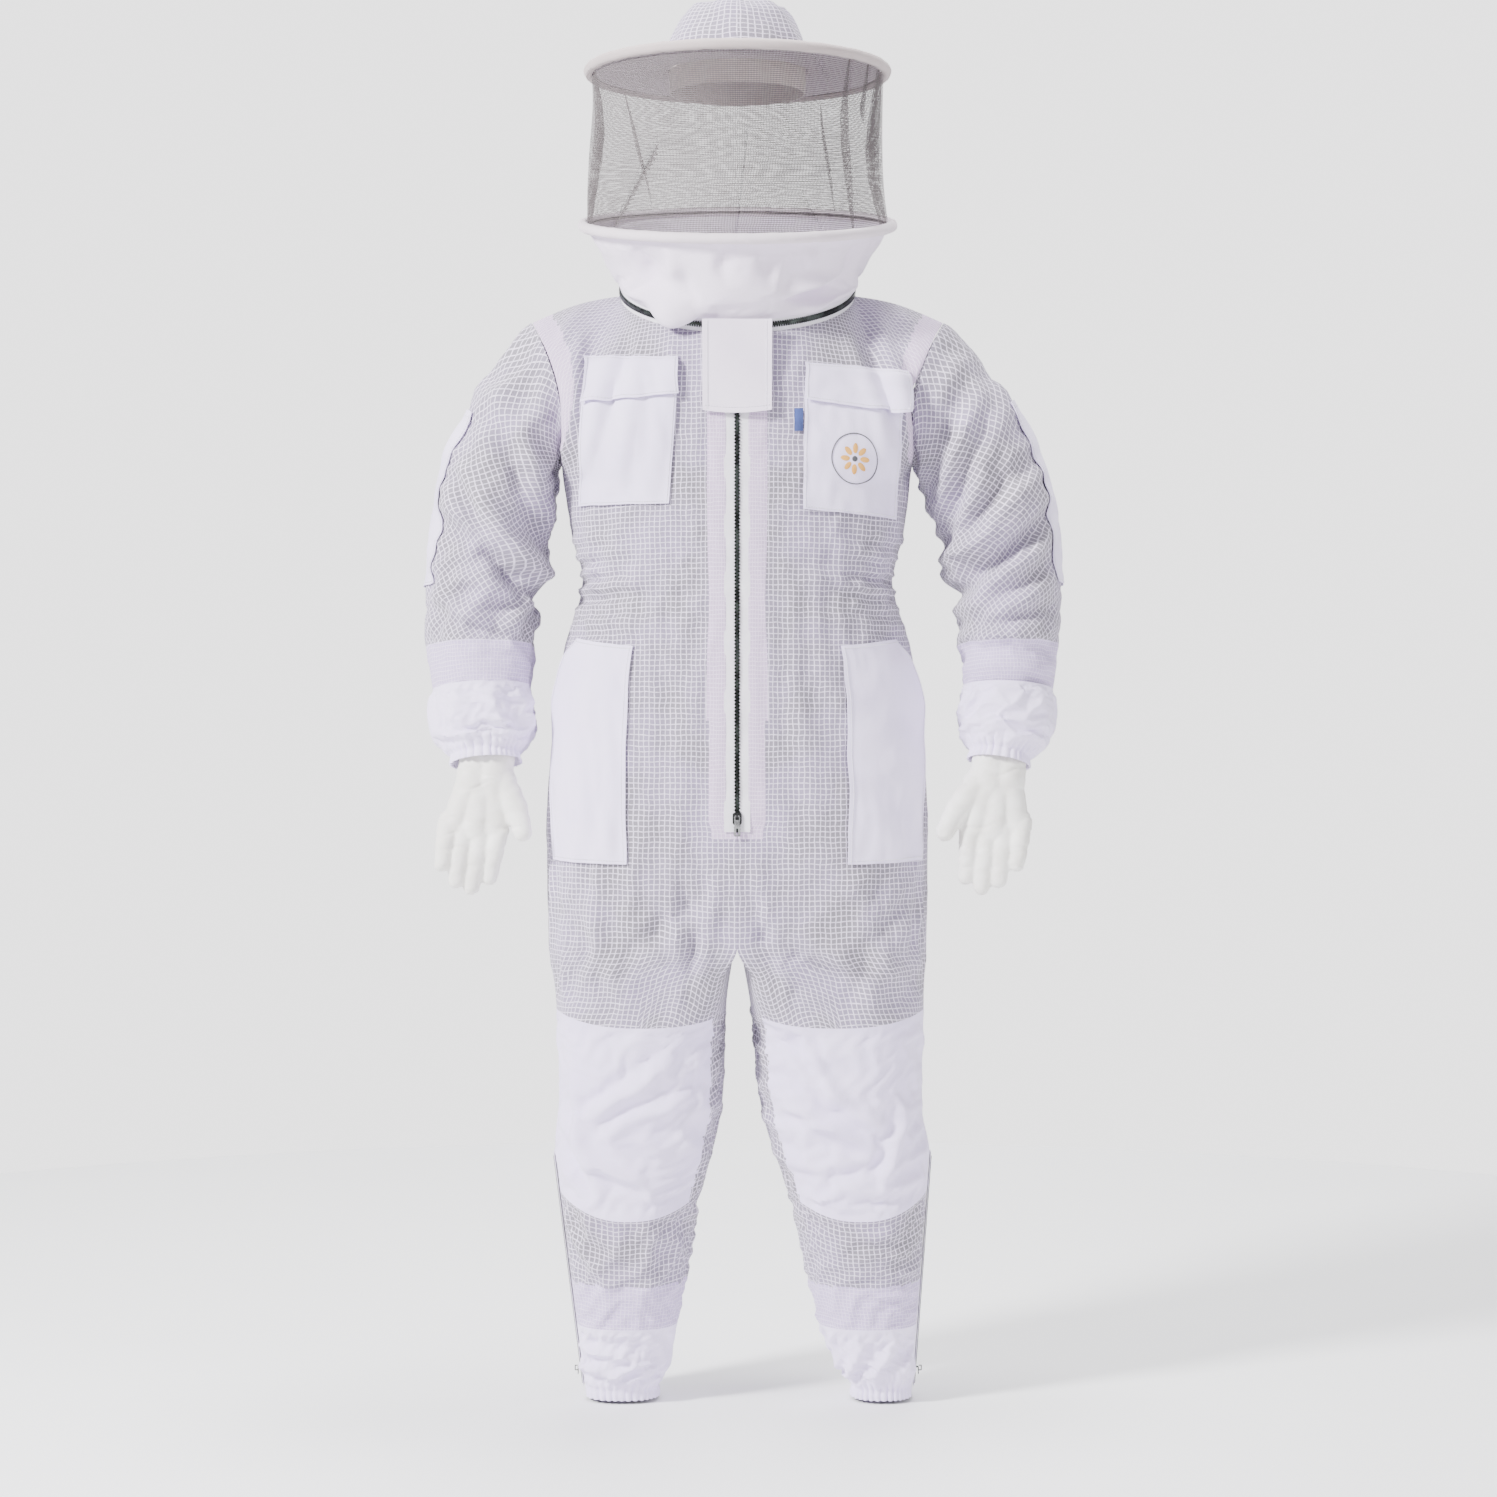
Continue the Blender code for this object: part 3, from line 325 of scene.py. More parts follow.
# ---------------------------------------------------------------- sheets of cloth as arrays
class Sheet:
    """A cloth's outer face: points [row][column], outward normals, and flat coordinates."""

    def __init__(self, rows, centre, wrap=False):
        self.P = np.array([[tuple(p) for p in row] for row in rows], float)
        self.wrap = wrap
        self.centre = np.array(centre, float)
        if self.centre.ndim == 2:
            self.centre = self.centre[:, None, :]
        self.own_normals = None
        self.measure()

    def measure(self):
        """Flat coordinates: the length along each row, and along each column."""
        across = np.linalg.norm(np.diff(self.P, axis=1), axis=2)
        down = np.linalg.norm(np.diff(self.P, axis=0), axis=2)
        self.U = np.concatenate([np.zeros((len(self.P), 1)), np.cumsum(across, 1)], 1)
        self.V = np.concatenate([np.zeros((1, self.P.shape[1])), np.cumsum(down, 0)], 0)
        if self.wrap:
            self.U *= self.U[:, -1].mean() / self.U[:, -1:]
            self.V = np.repeat(self.V.mean(1, keepdims=True), self.P.shape[1], 1)

    def rows(self, first, end):
        """Some of the rows, with the whole sheet's normals, so that two such parts meet."""
        normals = self.normals()
        part = copy.copy(self)
        part.P, part.U, part.V = self.P[first:end], self.U[first:end], self.V[first:end]
        part.centre, part.own_normals = self.centre[first:end], normals[first:end]
        return part

    def bearing(self):
        """Each point's direction from the suit's upright axis: 0 is the front."""
        return np.arctan2(self.P[..., 0], -self.P[..., 1])

    def to_side(self):
        """How far each point is from the sheet's left or right edge, along its row."""
        return np.minimum(self.U, self.U[:, -1:] - self.U)

    def normals(self):
        if self.own_normals is not None:
            return self.own_normals
        along_row = np.gradient(self.P, axis=1)
        if self.wrap:
            along_row[:, 0] = along_row[:, -1] = (self.P[:, 1] - self.P[:, -2]) / 2
        n = np.cross(along_row, np.gradient(self.P, axis=0))
        n /= np.linalg.norm(n, axis=2, keepdims=True) + 1e-12
        self.turned = (n * (self.P - self.centre)).sum() < 0
        return -n if self.turned else n

    def lift(self, amount):
        """Moves every point along its normal: amount is a number or an array."""
        self.P = self.P + self.normals() * (amount[..., None] if np.ndim(amount) else amount)
        return self

    def soften(self, times=1, held=True):
        """Evens the points out; held keeps the sheet's edges where they are."""
        for _ in range(times):
            P = self.P
            if self.wrap:
                ring = P[:, :-1]
                even = (np.roll(ring, 1, 1) + np.roll(ring, -1, 1)) / 2
                even = np.concatenate([even, even[:, :1]], 1)
            else:
                even = P.copy()
                even[:, 1:-1] = (P[:, 2:] + P[:, :-2]) / 2
            up = P.copy()
            up[1:-1] = (P[2:] + P[:-2]) / 2
            new = 0.5 * P + 0.25 * even + 0.25 * up
            if held:
                new[0], new[-1] = P[0], P[-1]
                if not self.wrap:
                    new[:, 0], new[:, -1] = P[:, 0], P[:, -1]
            self.P = new
        return self


def crumple(sheet, size, height, seed, stretch):
    """Soft random folds of about that size; stretch makes them longer along a row or column."""
    rng = np.random.default_rng(seed)
    U, V = sheet.U / stretch[0], sheet.V / stretch[1]
    total = np.zeros_like(U)
    for octave in range(5):
        part = size * 0.72**octave
        turn, shift, bend = rng.uniform(0, math.pi), *rng.uniform(0, 6.28, 2)
        along_fold = U * math.sin(turn) - V * math.cos(turn)
        warp = 1.3 * np.sin(along_fold * 2 * math.pi / (part * 2.1) + bend)
        wave = np.sin((U * math.cos(turn) + V * math.sin(turn)) * 2 * math.pi / part + warp + shift)
        swell = 0.5 + 0.5 * np.sin(along_fold * 2 * math.pi / (part * 3.3) + shift * 1.7)
        total += (0.8 - 1.6 * np.sqrt(wave**2 + 0.05)) * swell * 0.64**octave
    if sheet.wrap:
        total = total * ease(sheet.to_side() / (size * 0.6))
    return total * height


def crease(sheet, start, end, width, height):
    """A fold along a line in the front view, (x, z) to (x, z), on the cloth that faces front."""
    a, b = np.array(start, float), np.array(end, float)
    line = b - a
    length = np.linalg.norm(line)
    flat = sheet.P[..., [0, 2]] - a
    t = flat @ line / length**2
    away = (flat[..., 0] * line[1] - flat[..., 1] * line[0]) / length
    ends = ease((t + 0.12) / 0.3) * ease((1.12 - t) / 0.3)
    front = ease((-sheet.normals()[..., 1] + 0.25) / 0.5)
    profile = hump(away, 0, width) - 0.75 * hump(away, 1.5 * width, width)
    return height * profile * ends * front


def gathers(sheet, count, height, seed):
    """Small folds that run across an elastic, unevenly spaced around the row."""
    rng = np.random.default_rng(seed)
    share = sheet.U / sheet.U[:, -1:]
    phase = share * count
    for k in (1, 2, 3, 5):
        phase = phase + rng.uniform(0.1, 0.35) * np.sin(2 * math.pi * (k * share + rng.uniform(0, 1)))
    return height * (np.abs(np.sin(math.pi * phase)) ** 0.7 - 0.6)


# ---------------------------------------------------------------- meshes
def shown(name, data):
    item = bpy.data.objects.new(name, data)
    bpy.context.scene.collection.objects.link(item)
    return item


def mesh_object(name, points, faces, looks, uvs=None, zones=None, sharp=60):
    mesh = bpy.data.meshes.new(name)
    mesh.from_pydata([tuple(p) for p in points], [], faces)
    for look in looks:
        mesh.materials.append(look)
    if zones is not None:
        mesh.polygons.foreach_set("material_index", zones)
    if uvs is not None:
        layer = mesh.uv_layers.new(name="cloth")
        layer.data.foreach_set("uv", np.array(uvs, np.float32).ravel())
    mesh.shade_smooth()
    mesh.set_sharp_from_angle(angle=math.radians(sharp))
    return shown(name, mesh)


def sheet_faces(sheet, keep=None):
    """The grid's quads as corner numbers, turned outwards, and the cell that each comes from."""
    rows, columns = sheet.P.shape[:2]
    width = columns - 1 if sheet.wrap else columns
    sheet.normals()
    quads, cells = [], []
    for j in range(rows - 1):
        for i in range(columns - 1):
            if keep is not None and not keep[j, i]:
                continue
            corners = [(j, i), (j, i + 1), (j + 1, i + 1), (j + 1, i)]
            if sheet.turned:
                corners.reverse()
            quads.append(([r * width + c % width for r, c in corners], corners))
            cells.append((j, i))
    return quads, cells, width


def cloth(name, sheet, looks, thickness=CLOTH, keep=None, zone=None):
    """A closed piece of cloth: the sheet, the same again further in, and a rim round its edge."""
    looks = looks if isinstance(looks, (list, tuple)) else [looks]
    quads, cells, width = sheet_faces(sheet, keep)
    outer = sheet.P[:, :width].reshape(-1, 3)
    inner = (sheet.P - sheet.normals() * thickness)[:, :width].reshape(-1, 3)
    used = sorted({i for quad, _ in quads for i in quad})
    number = {old: new for new, old in enumerate(used)}
    count = len(used)
    faces, uvs, zones = [], [], []
    edges = {}
    for (quad, corners), cell in zip(quads, cells):
        ids = [number[i] for i in quad]
        spots = [(sheet.U[c], sheet.V[c]) for c in corners]
        which = int(zone[cell]) if zone is not None else 0
        faces.append(ids)
        uvs += spots
        faces.append([i + count for i in reversed(ids)])
        uvs += list(reversed(spots))
        zones += [which, which]
        for k in range(4):
            edges[(ids[k], ids[(k + 1) % 4])] = (spots[k], spots[(k + 1) % 4], which)
    for (a, b), (spot_a, spot_b, which) in edges.items():
        if (b, a) not in edges:
            faces.append([b, a, a + count, b + count])
            uvs += [spot_b, spot_a, spot_a, spot_b]
            zones.append(which)
    points = np.concatenate([outer[used], inner[used]])
    return mesh_object(name, points, faces, looks, uvs, zones)


def settle(sheet, held, grow, frames, gravity, cap):
    """Lets cloth that is cut longer than its place fold by itself, with Blender's Cloth.

    held is an array of how firmly each point is kept; grow is how much longer the cloth is, and
    cap is how far a point may move.
    """
    quads, _, width = sheet_faces(sheet)
    rest = sheet.P[:, :width].reshape(-1, 3)
    item = mesh_object("settling", rest, [q for q, _ in quads], [])
    group = item.vertex_groups.new(name="held")
    for i, weight in enumerate(held[:, :width].ravel()):
        group.add([i], float(weight), "REPLACE")
    cloth_modifier = item.modifiers.new("settle", "CLOTH")
    settings = cloth_modifier.settings
    settings.quality = 5
    settings.mass = 0.02
    settings.air_damping = 6
    settings.tension_stiffness = settings.compression_stiffness = 12
    settings.shear_stiffness = 4
    settings.bending_stiffness = 0.6
    settings.vertex_group_mass = "held"
    settings.pin_stiffness = 2
    settings.shrink_min = -grow
    settings.effector_weights.gravity = gravity
    cloth_modifier.collision_settings.use_collision = False
    cloth_modifier.point_cache.frame_start = 1
    cloth_modifier.point_cache.frame_end = frames
    for step in range(1, frames + 1):
        bpy.context.scene.frame_set(step)
    evaluated = item.evaluated_get(bpy.context.evaluated_depsgraph_get())
    moved = np.zeros(len(rest) * 3)
    evaluated.data.vertices.foreach_get("co", moved)
    shift = moved.reshape(-1, 3) - rest
    far = np.linalg.norm(shift, axis=1, keepdims=True)
    shift *= np.minimum(1, cap / np.maximum(far, 1e-9))
    new = (rest + shift).reshape(len(sheet.P), width, 3)
    sheet.P = np.concatenate([new, new[:, :1]], 1) if sheet.wrap else new
    bpy.data.objects.remove(item)
    bpy.context.scene.frame_set(1)
    return sheet


def boxes(name, blocks, look):
    """Many small bevelled blocks as one piece: each is a matrix that places a unit cube."""
    points, faces = [], []
    for matrix in blocks:
        start = len(points)
        for z, size in ((-0.5, 0.38), (-0.36, 0.5), (0.36, 0.5), (0.5, 0.38)):
            for x, y in ((-size, -size), (size, -size), (size, size), (-size, size)):
                points.append(matrix @ Vector((x, y, z)))
        faces.append([start + 3, start + 2, start + 1, start])
        faces.append([start + 12, start + 13, start + 14, start + 15])
        for ring in range(3):
            for k in range(4):
                a, b = start + ring * 4 + k, start + ring * 4 + (k + 1) % 4
                faces.append([a, b, b + 4, a + 4])
    return mesh_object(name, points, faces, [look], sharp=35)


def placed(origin, size, axes=((1, 0, 0), (0, 1, 0), (0, 0, 1))):
    """A matrix that puts a unit cube at origin, with those axes and that size."""
    columns = [Vector(a).normalized() * s for a, s in zip(axes, size)]
    matrix = Matrix.Identity(4)
    for k, column in enumerate(columns):
        for row in range(3):
            matrix[row][k] = column[row]
    matrix.translation = Vector(origin)
    return matrix


# ---------------------------------------------------------------- materials
class Nodes:
    """A short way to write a material's nodes."""

    def __init__(self, name):
        self.material = bpy.data.materials.new(name)
        self.material.use_nodes = True
        self.tree = self.material.node_tree
        self.shader = self.tree.nodes["Principled BSDF"]

    def add(self, kind, **values):
        node = self.tree.nodes.new("ShaderNode" + kind)
        for key, value in values.items():
            if key in node.bl_rna.properties:
                setattr(node, key, value)
            else:
                node.inputs[key.replace("_", " ")].default_value = value
        return node

    def link(self, source, target, name):
        self.tree.links.new(source, target.inputs[name])

    def maths(self, operation, a, b=None):
        node = self.add("Math", operation=operation)
        for index, value in enumerate((a, b)):
            if value is None:
                continue
            if isinstance(value, (int, float)):
                node.inputs[index].default_value = value
            else:
                self.tree.links.new(value, node.inputs[index])
        return node.outputs[0]

    def times(self, a, b):
        return self.maths("MULTIPLY", a, b)

    def plus(self, a, b):
        return self.maths("ADD", a, b)

    def between(self, value, low, high, start=0.0, end=1.0):
        """A smooth step: start where value is low or less, end where it is high or more."""
        node = self.add("MapRange", interpolation_type="SMOOTHSTEP")
        self.link(value, node, "Value")
        for key, number in zip(("From Min", "From Max", "To Min", "To Max"), (low, high, start, end)):
            node.inputs[key].default_value = number
        return node.outputs[0]

    def mix(self, factor, a, b):
        node = self.add("Mix", data_type="RGBA")
        self.link(factor, node, 0)
        for socket, value in ((6, a), (7, b)):
            if isinstance(value, tuple):
                node.inputs[socket].default_value = (*value, 1)
            else:
                self.tree.links.new(value, node.inputs[socket])
        return node.outputs[2]

    def noise(self, scale, detail, place):
        node = self.add("TexNoise", Scale=scale, Detail=detail)
        self.link(place, node, "Vector")
        return node.outputs["Fac"]

    def apart(self, place):
        node = self.add("SeparateXYZ")
        self.link(place, node, "Vector")
        return node.outputs

    def flat(self, turn, wobble):
        """The cloth's flat coordinates in metres, made a bit wavy, and x and y turned by an angle."""
        uv = self.add("UVMap", uv_map="cloth").outputs["UV"]
        wave = self.add("TexNoise", Scale=38, Detail=2)
        self.link(uv, wave, "Vector")
        away = self.add("VectorMath", operation="SUBTRACT")
        self.link(wave.outputs["Color"], away, 0)
        away.inputs[1].default_value = (0.5, 0.5, 0.5)
        small = self.add("VectorMath", operation="SCALE", Scale=wobble)
        self.link(away.outputs[0], small, 0)
        both = self.add("VectorMath", operation="ADD")
        self.link(uv, both, 0)
        self.link(small.outputs[0], both, 1)
        turned = self.add("VectorRotate", rotation_type="Z_AXIS", Angle=turn)
        self.link(both.outputs[0], turned, "Vector")
        x, y, _ = self.apart(turned.outputs[0])
        return both.outputs[0], x, y

    def stripe(self, coordinate, pitch):
        """From 0 in the middle of a line to 1 half a pitch away from it."""
        share = self.maths("FRACT", self.maths("DIVIDE", coordinate, pitch))
        return self.times(self.maths("ABSOLUTE", self.maths("SUBTRACT", share, 0.5)), 2)

    def finish(self, colour, height, bump, depth, roughness, rough_from=None, sheen=0.25,
               metallic=0.0, coat=0.0):
        """Connects the shader: bump and depth are the relief's strength and height."""
        shader = self.shader
        self.link(colour, shader, "Base Color")
        if rough_from is not None:
            self.link(rough_from, shader, "Roughness")
        for name, value in (("Roughness", roughness), ("Metallic", metallic), ("Sheen Weight", sheen),
                            ("Sheen Roughness", 0.6), ("Coat Weight", coat)):
            shader.inputs[name].default_value = value
        node = self.add("Bump", Strength=bump, Distance=depth)
        self.link(height, node, "Height")
        self.link(node.outputs["Normal"], shader, "Normal")
        return self.material


def mesh_look(name, turn=0.0, cell=(0.225, 0.205, 0.245), line=(0.83, 0.75, 0.93), depth=0.0011,
              pitch=GRID, tint=(0.38, 0.30, 0.52)):
    """Three bonded layers: a white square net over an open grey knit."""
    n = Nodes(name)
    uv, x, y = n.flat(turn, 0.0045)
    ribs = n.maths("MAXIMUM", *(n.between(n.stripe(at, pitch), 0.10, 0.30, 1.0, 0.0) for at in (x, y)))
    hole_x, hole_y = n.stripe(x, pitch / 5), n.stripe(y, pitch / 5)
    knit = n.between(n.times(hole_x, hole_y), 0.15, 0.6)
    patch = n.between(n.noise(11, 3, uv), 0.35, 0.68)
    ground = n.mix(n.times(knit, 0.35), cell, tuple(c * 0.62 for c in cell))
    ground = n.mix(n.times(patch, 0.55), ground, tint)
    uneven = n.between(n.noise(240, 2, uv), 0.3, 0.7, 0.72, 1.0)
    colour = n.mix(n.times(ribs, uneven), ground, line)
    height = n.plus(ribs, n.times(knit, -0.25))
    return n.finish(colour, height, 0.75, depth, 0.92, sheen=0.2)


def cotton_look(name, base=(0.83, 0.745, 0.99), shade=(0.74, 0.64, 0.93), depth=0.0004):
    """Plain woven cotton, with a fine twill and slightly uneven whites."""
    n = Nodes(name)
    uv, x, y = n.flat(math.radians(38), 0.0006)
    twill = n.stripe(x, 0.0011)
    thread = n.stripe(y, 0.0009)
    weave = n.plus(n.times(twill, 0.6), n.times(thread, 0.4))
    patch = n.between(n.noise(14, 4, uv), 0.3, 0.72)
    slub = n.between(n.noise(420, 2, uv), 0.35, 0.75)
    colour = n.mix(n.times(patch, 0.45), base, shade)
    colour = n.mix(n.times(slub, 0.10), colour, tuple(c * 0.9 for c in shade))
    rough = n.between(weave, 0.0, 1.0, 0.78, 0.92)
    height = n.plus(weave, n.times(slub, 0.5))
    return n.finish(colour, height, 0.35, depth, 0.85, rough, sheen=0.3)


def net_look():
    """Fine black netting: threads with nothing between them."""
    n = Nodes("veil_netting")
    uv, x, y = n.flat(0.0, 0.0012)
    pitch = 0.0019
    thread = n.maths("MAXIMUM", *(n.between(n.stripe(at, pitch), 0.23, 0.42, 1.0, 0.0) for at in (x, y)))
    cloud = n.between(n.noise(9, 3, uv), 0.3, 0.7, 0.86, 1.0)
    alpha = n.times(thread, cloud)
    colour = n.mix(n.noise(300, 2, uv), (0.075, 0.062, 0.066), (0.150, 0.125, 0.130))
    material = n.finish(colour, thread, 0.3, 0.0002, 0.75, sheen=0.1)
    n.link(alpha, n.shader, "Alpha")
    return material


def grain_look(name, low, high, scale, roughness=0.6, depth=0.0004, metallic=0.0, sheen=0.0,
               coat=0.0, bump=0.4):
    """Leather, lacquer or metal: a colour between two, by grain, from the object's own space."""
    n = Nodes(name)
    place = n.add("TexCoord").outputs["Object"]
    cells = n.add("TexVoronoi", Scale=scale)
    n.link(place, cells, "Vector")
    grain = n.noise(scale * 0.6, 5, place)
    wear = n.between(n.noise(scale * 0.06, 4, place), 0.35, 0.7)
    mixed = n.times(n.plus(grain, wear), 0.5)
    colour = n.mix(n.between(mixed, 0.25, 0.75), low, high)
    height = n.plus(cells.outputs["Distance"], grain)
    rough = n.between(grain, 0.3, 0.7, roughness - 0.08, roughness + 0.08)
    return n.finish(colour, height, bump, depth, roughness, rough, sheen, metallic, coat)


def woven_look(name, low, high, pitch=0.0012):
    """Tape, thread or towelling: close ribs across the object's own space."""
    n = Nodes(name)
    place = n.add("TexCoord").outputs["Object"]
    x, _, z = n.apart(place)
    ribs = n.stripe(z, pitch)
    across = n.stripe(x, pitch * 1.4)
    weave = n.plus(ribs, n.times(across, 0.5))
    soft = n.noise(60, 4, place)
    colour = n.mix(n.between(n.plus(n.times(weave, 0.4), soft), 0.4, 1.1), low, high)
    return n.finish(colour, weave, 0.5, pitch * 0.35, 0.88, sheen=0.3)


WHITE_MESH = mesh_look("white_mesh")
SLEEVE_MESH = {LEFT: mesh_look("sleeve_mesh_left", math.radians(-36)),
               RIGHT: mesh_look("sleeve_mesh_right", math.radians(36))}
LINED_MESH = mesh_look("lined_mesh", 0.0, (0.56, 0.44, 0.74), (0.83, 0.73, 0.97), 0.0008, GRID * 0.8,
                       (0.60, 0.48, 0.78))
FACING = mesh_look("zip_facing", 0.0, (0.56, 0.42, 0.64), (0.84, 0.72, 0.91), 0.0005, GRID * 0.8,
                   (0.62, 0.46, 0.70))
BRIM_MESH = mesh_look("brim_mesh", 0.0, (0.56, 0.47, 0.52), (0.80, 0.71, 0.78), 0.0008, GRID,
                      (0.58, 0.48, 0.55))
COTTON_WHITE = cotton_look("white_cotton")
COTTON_KNEE = cotton_look("knee_cotton", (0.80, 0.71, 0.97), (0.69, 0.59, 0.90))
COTTON_WARM = cotton_look("hood_cotton", (0.84, 0.745, 0.89), (0.73, 0.62, 0.81))
CASING = cotton_look("hoop_tape", (0.50, 0.42, 0.42), (0.42, 0.34, 0.34), 0.0006)
CASING_LOW = cotton_look("hoop_tape_low", (0.76, 0.67, 0.74), (0.64, 0.55, 0.61), 0.0006)
NET = net_look()
TOWELLING = woven_look("sweatband_towelling", (0.62, 0.50, 0.46), (0.76, 0.67, 0.63), 0.0020)
ELASTIC = woven_look("ribbed_elastic", (0.66, 0.62, 0.66), (0.82, 0.79, 0.84), 0.0030)
TAPE = woven_look("zip_tape", (0.70, 0.66, 0.74), (0.84, 0.81, 0.88), 0.0010)
LABEL = woven_look("blue_weave", (0.012, 0.025, 0.12), (0.035, 0.065, 0.26), 0.0010)
THREAD = woven_look("white_thread", (0.72, 0.69, 0.78), (0.86, 0.83, 0.91), 0.0006)
TEETH = grain_look("dark_teeth", (0.012, 0.014, 0.013), (0.05, 0.06, 0.055), 900, 0.34, 0.0001, 0.7)
LACQUER = grain_look("black_lacquer", (0.010, 0.010, 0.011), (0.03, 0.03, 0.032), 500, 0.30, 0.0001,
                     0.6, coat=0.4)
STEEL = grain_look("brushed_steel", (0.32, 0.32, 0.33), (0.55, 0.55, 0.56), 700, 0.32, 0.00008, 1.0)
LEATHER = grain_look("white_leather", (0.78, 0.755, 0.72), (0.86, 0.845, 0.82), 520, 0.62, 0.00035,
                     sheen=0.15, bump=0.35)
AMBER = woven_look("amber_thread", (0.62, 0.27, 0.03), (0.83, 0.43, 0.08), 0.0009)
DARK_THREAD = woven_look("dark_thread", (0.02, 0.02, 0.025), (0.06, 0.06, 0.07), 0.0009)


# ---------------------------------------------------------------- how pieces join the frame
def joined(item, nodes, body=None, blend=None):
    """Rides a piece on a body, or leaves it where it was made when it crosses a joint, and hides the parts it
    stands for.
    """
    if body:
        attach(item, body)
    else:
        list(blend[:2])
        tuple(blend[2])
        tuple(blend[3])
        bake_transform(item)
    if nodes:
        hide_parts(*nodes)
    return item


# ---------------------------------------------------------------- hat, hoops and veil
def around(steps):
    return spans(0, 2 * math.pi, steps)


def casing(name, place, look, body, node, seed):
    """Bias tape folded round the hoop's wire, with the small puckers of its curve."""
    seam = math.radians(20)
    turns = around(260)
    radius = LOWER_HOOP_R if place is lower_hoop_point else UPPER_HOOP_R
    rows = [[place(t, radius + CASING_R * math.cos(a), CASING_R * math.sin(a)) for t in turns]
            for a in spans(math.pi + seam, 3 * math.pi - seam, 14)]
    sheet = Sheet(rows, (0, 0, 0), wrap=True)
    sheet.centre = np.array([[tuple(place(t, radius)) for t in turns]])
    rng = np.random.default_rng(seed)
    pucker = 0
    for count in (41, 67, 23):
        waves = sheet.U * (2 * math.pi * count / sheet.U[0, -1])
        pucker = pucker + rng.uniform(0.4, 1) * np.sin(waves + rng.uniform(0, 6) + sheet.V * 160)
    sheet.lift(pucker * 0.00022)
    item = cloth(name, sheet, look, thickness=0.0010)
    joined(item, [node], body)


def make_hat():
    """The crown's side and top, gathered into its seams, with a few soft dents."""
    base = UPPER_HOOP_Z + 0.004
    foot = base - UPPER_HOOP_Z
    height = CROWN_TOP - base
    side_share, side_high = 0.62, 0.93  # of the crown's rows, and of its height
    profile = ((0.0, CROWN_R), (0.33, 0.0868), (0.62, 0.0765), (0.80, 0.0680), (0.93, CROWN_EDGE))
    turns = around(132)
    rows = []
    for s in spans(0, 1, 34):
        if s < side_share:
            h = s / side_share * side_high
            r = along(profile, h)
        else:
            r = CROWN_EDGE * (1 - (s - side_share) / 0.38) + 0.0015
            h = 1 - 0.07 * (r / CROWN_EDGE) ** 2.2
        rows.append([upper_hoop_point(t, r, foot + height * h) for t in turns])
    sheet = Sheet(rows, (0, 0, UPPER_HOOP_Z + 0.03), wrap=True)
    angle = sheet.bearing()
    high = (sheet.P[..., 2] - base) / height
    dents = 0.0022 * np.sin(3 * angle + 1.0) * high + 0.0016 * np.sin(7 * angle + 3 * high)
    dents -= 0.0045 * np.exp(-(((angle - 0.25) / 0.5) ** 2) - ((high - 0.93) / 0.12) ** 2)
    dents += 0.0012 * np.sin(13 * angle + 5 * high) * ease(1 - high)
    sheet.lift(np.minimum(dents - 0.0016, 0.0004))
    item = cloth("hat_crown_cloth", sheet, WHITE_MESH)
    joined(item, ["hat_crown"], "hat")

    edge = UPPER_HOOP_R - CASING_R - 0.0006
    rows = [[upper_hoop_point(t, r, foot - 0.0008 - 0.0024 * (r - CROWN_R) / 0.09)
             for t in around(150)] for r in spans(CROWN_R - 0.004, edge, 16)]
    sheet = Sheet(rows, (0, 0, 1.0), wrap=True)
    sheet.P[..., 2] += 0.0005 * np.sin(sheet.bearing() * 11) - 0.0006
    item = cloth("hat_brim_cloth", sheet, BRIM_MESH, thickness=0.0016)
    joined(item, ["hat_brim"], "hat")

    rows = [[upper_hoop_point(t, 0.0835 + 0.0004 * math.sin(t * 40), foot + h)
             for t in around(160)] for h in spans(-0.030, 0.010, 10)]
    sheet = Sheet(rows, (0, 0, base), wrap=True)
    item = cloth("sweatband_cloth", sheet, TOWELLING, thickness=0.0020)
    joined(item, ["sweatband"], "hat")


VEIL_FOLDS = (  # place round the veil at its foot and at its head, lowest and highest reach, depth
    (0.87, 0.87, -0.2, 1.2, 0.016), (1.08, 1.10, 0.60, 1.2, 0.011), (1.26, 1.30, -0.2, 1.2, 0.012),
    (1.42, 1.38, -0.2, 1.2, 0.014), (-0.95, -0.20, -0.2, 0.55, 0.018), (-1.44, -1.46, -0.2, 1.2, 0.014),
    (-1.33, -1.37, -0.2, 1.2, 0.010), (0.0, 0.13, -0.2, 0.60, 0.009), (0.60, -0.15, -0.2, 0.26, 0.010),
    (1.47, 0.53, 0.80, 1.2, 0.010), (2.4, 2.5, -0.2, 1.2, 0.010), (-2.5, -2.2, -0.2, 1.2, 0.010),
)
FOLD_WIDTH, PLEAT_WIDTH, FOLD_SHIFT = 0.022, 0.011, 0.036


def veil_shift(t, v):
    """How far round and how far out the folds carry the net: each one doubles back over itself."""
    turn = out = 0.0
    for foot, head, lowest, highest, depth in VEIL_FOLDS:
        near = (t - foot - (head - foot) * v + math.pi) % (2 * math.pi) - math.pi
        if abs(near) < 5 * FOLD_WIDTH:
            reach = ease((v - lowest) / 0.15) * ease((highest - v) / 0.15)
            reach *= 0.35 + 0.65 * math.sin(math.pi * min(1, max(0, v)))
            x = near / FOLD_WIDTH
            turn -= FOLD_SHIFT * x * math.exp(-x * x) * reach
            out -= depth * math.exp(-((near / PLEAT_WIDTH) ** 2)) * reach
    return turn, out


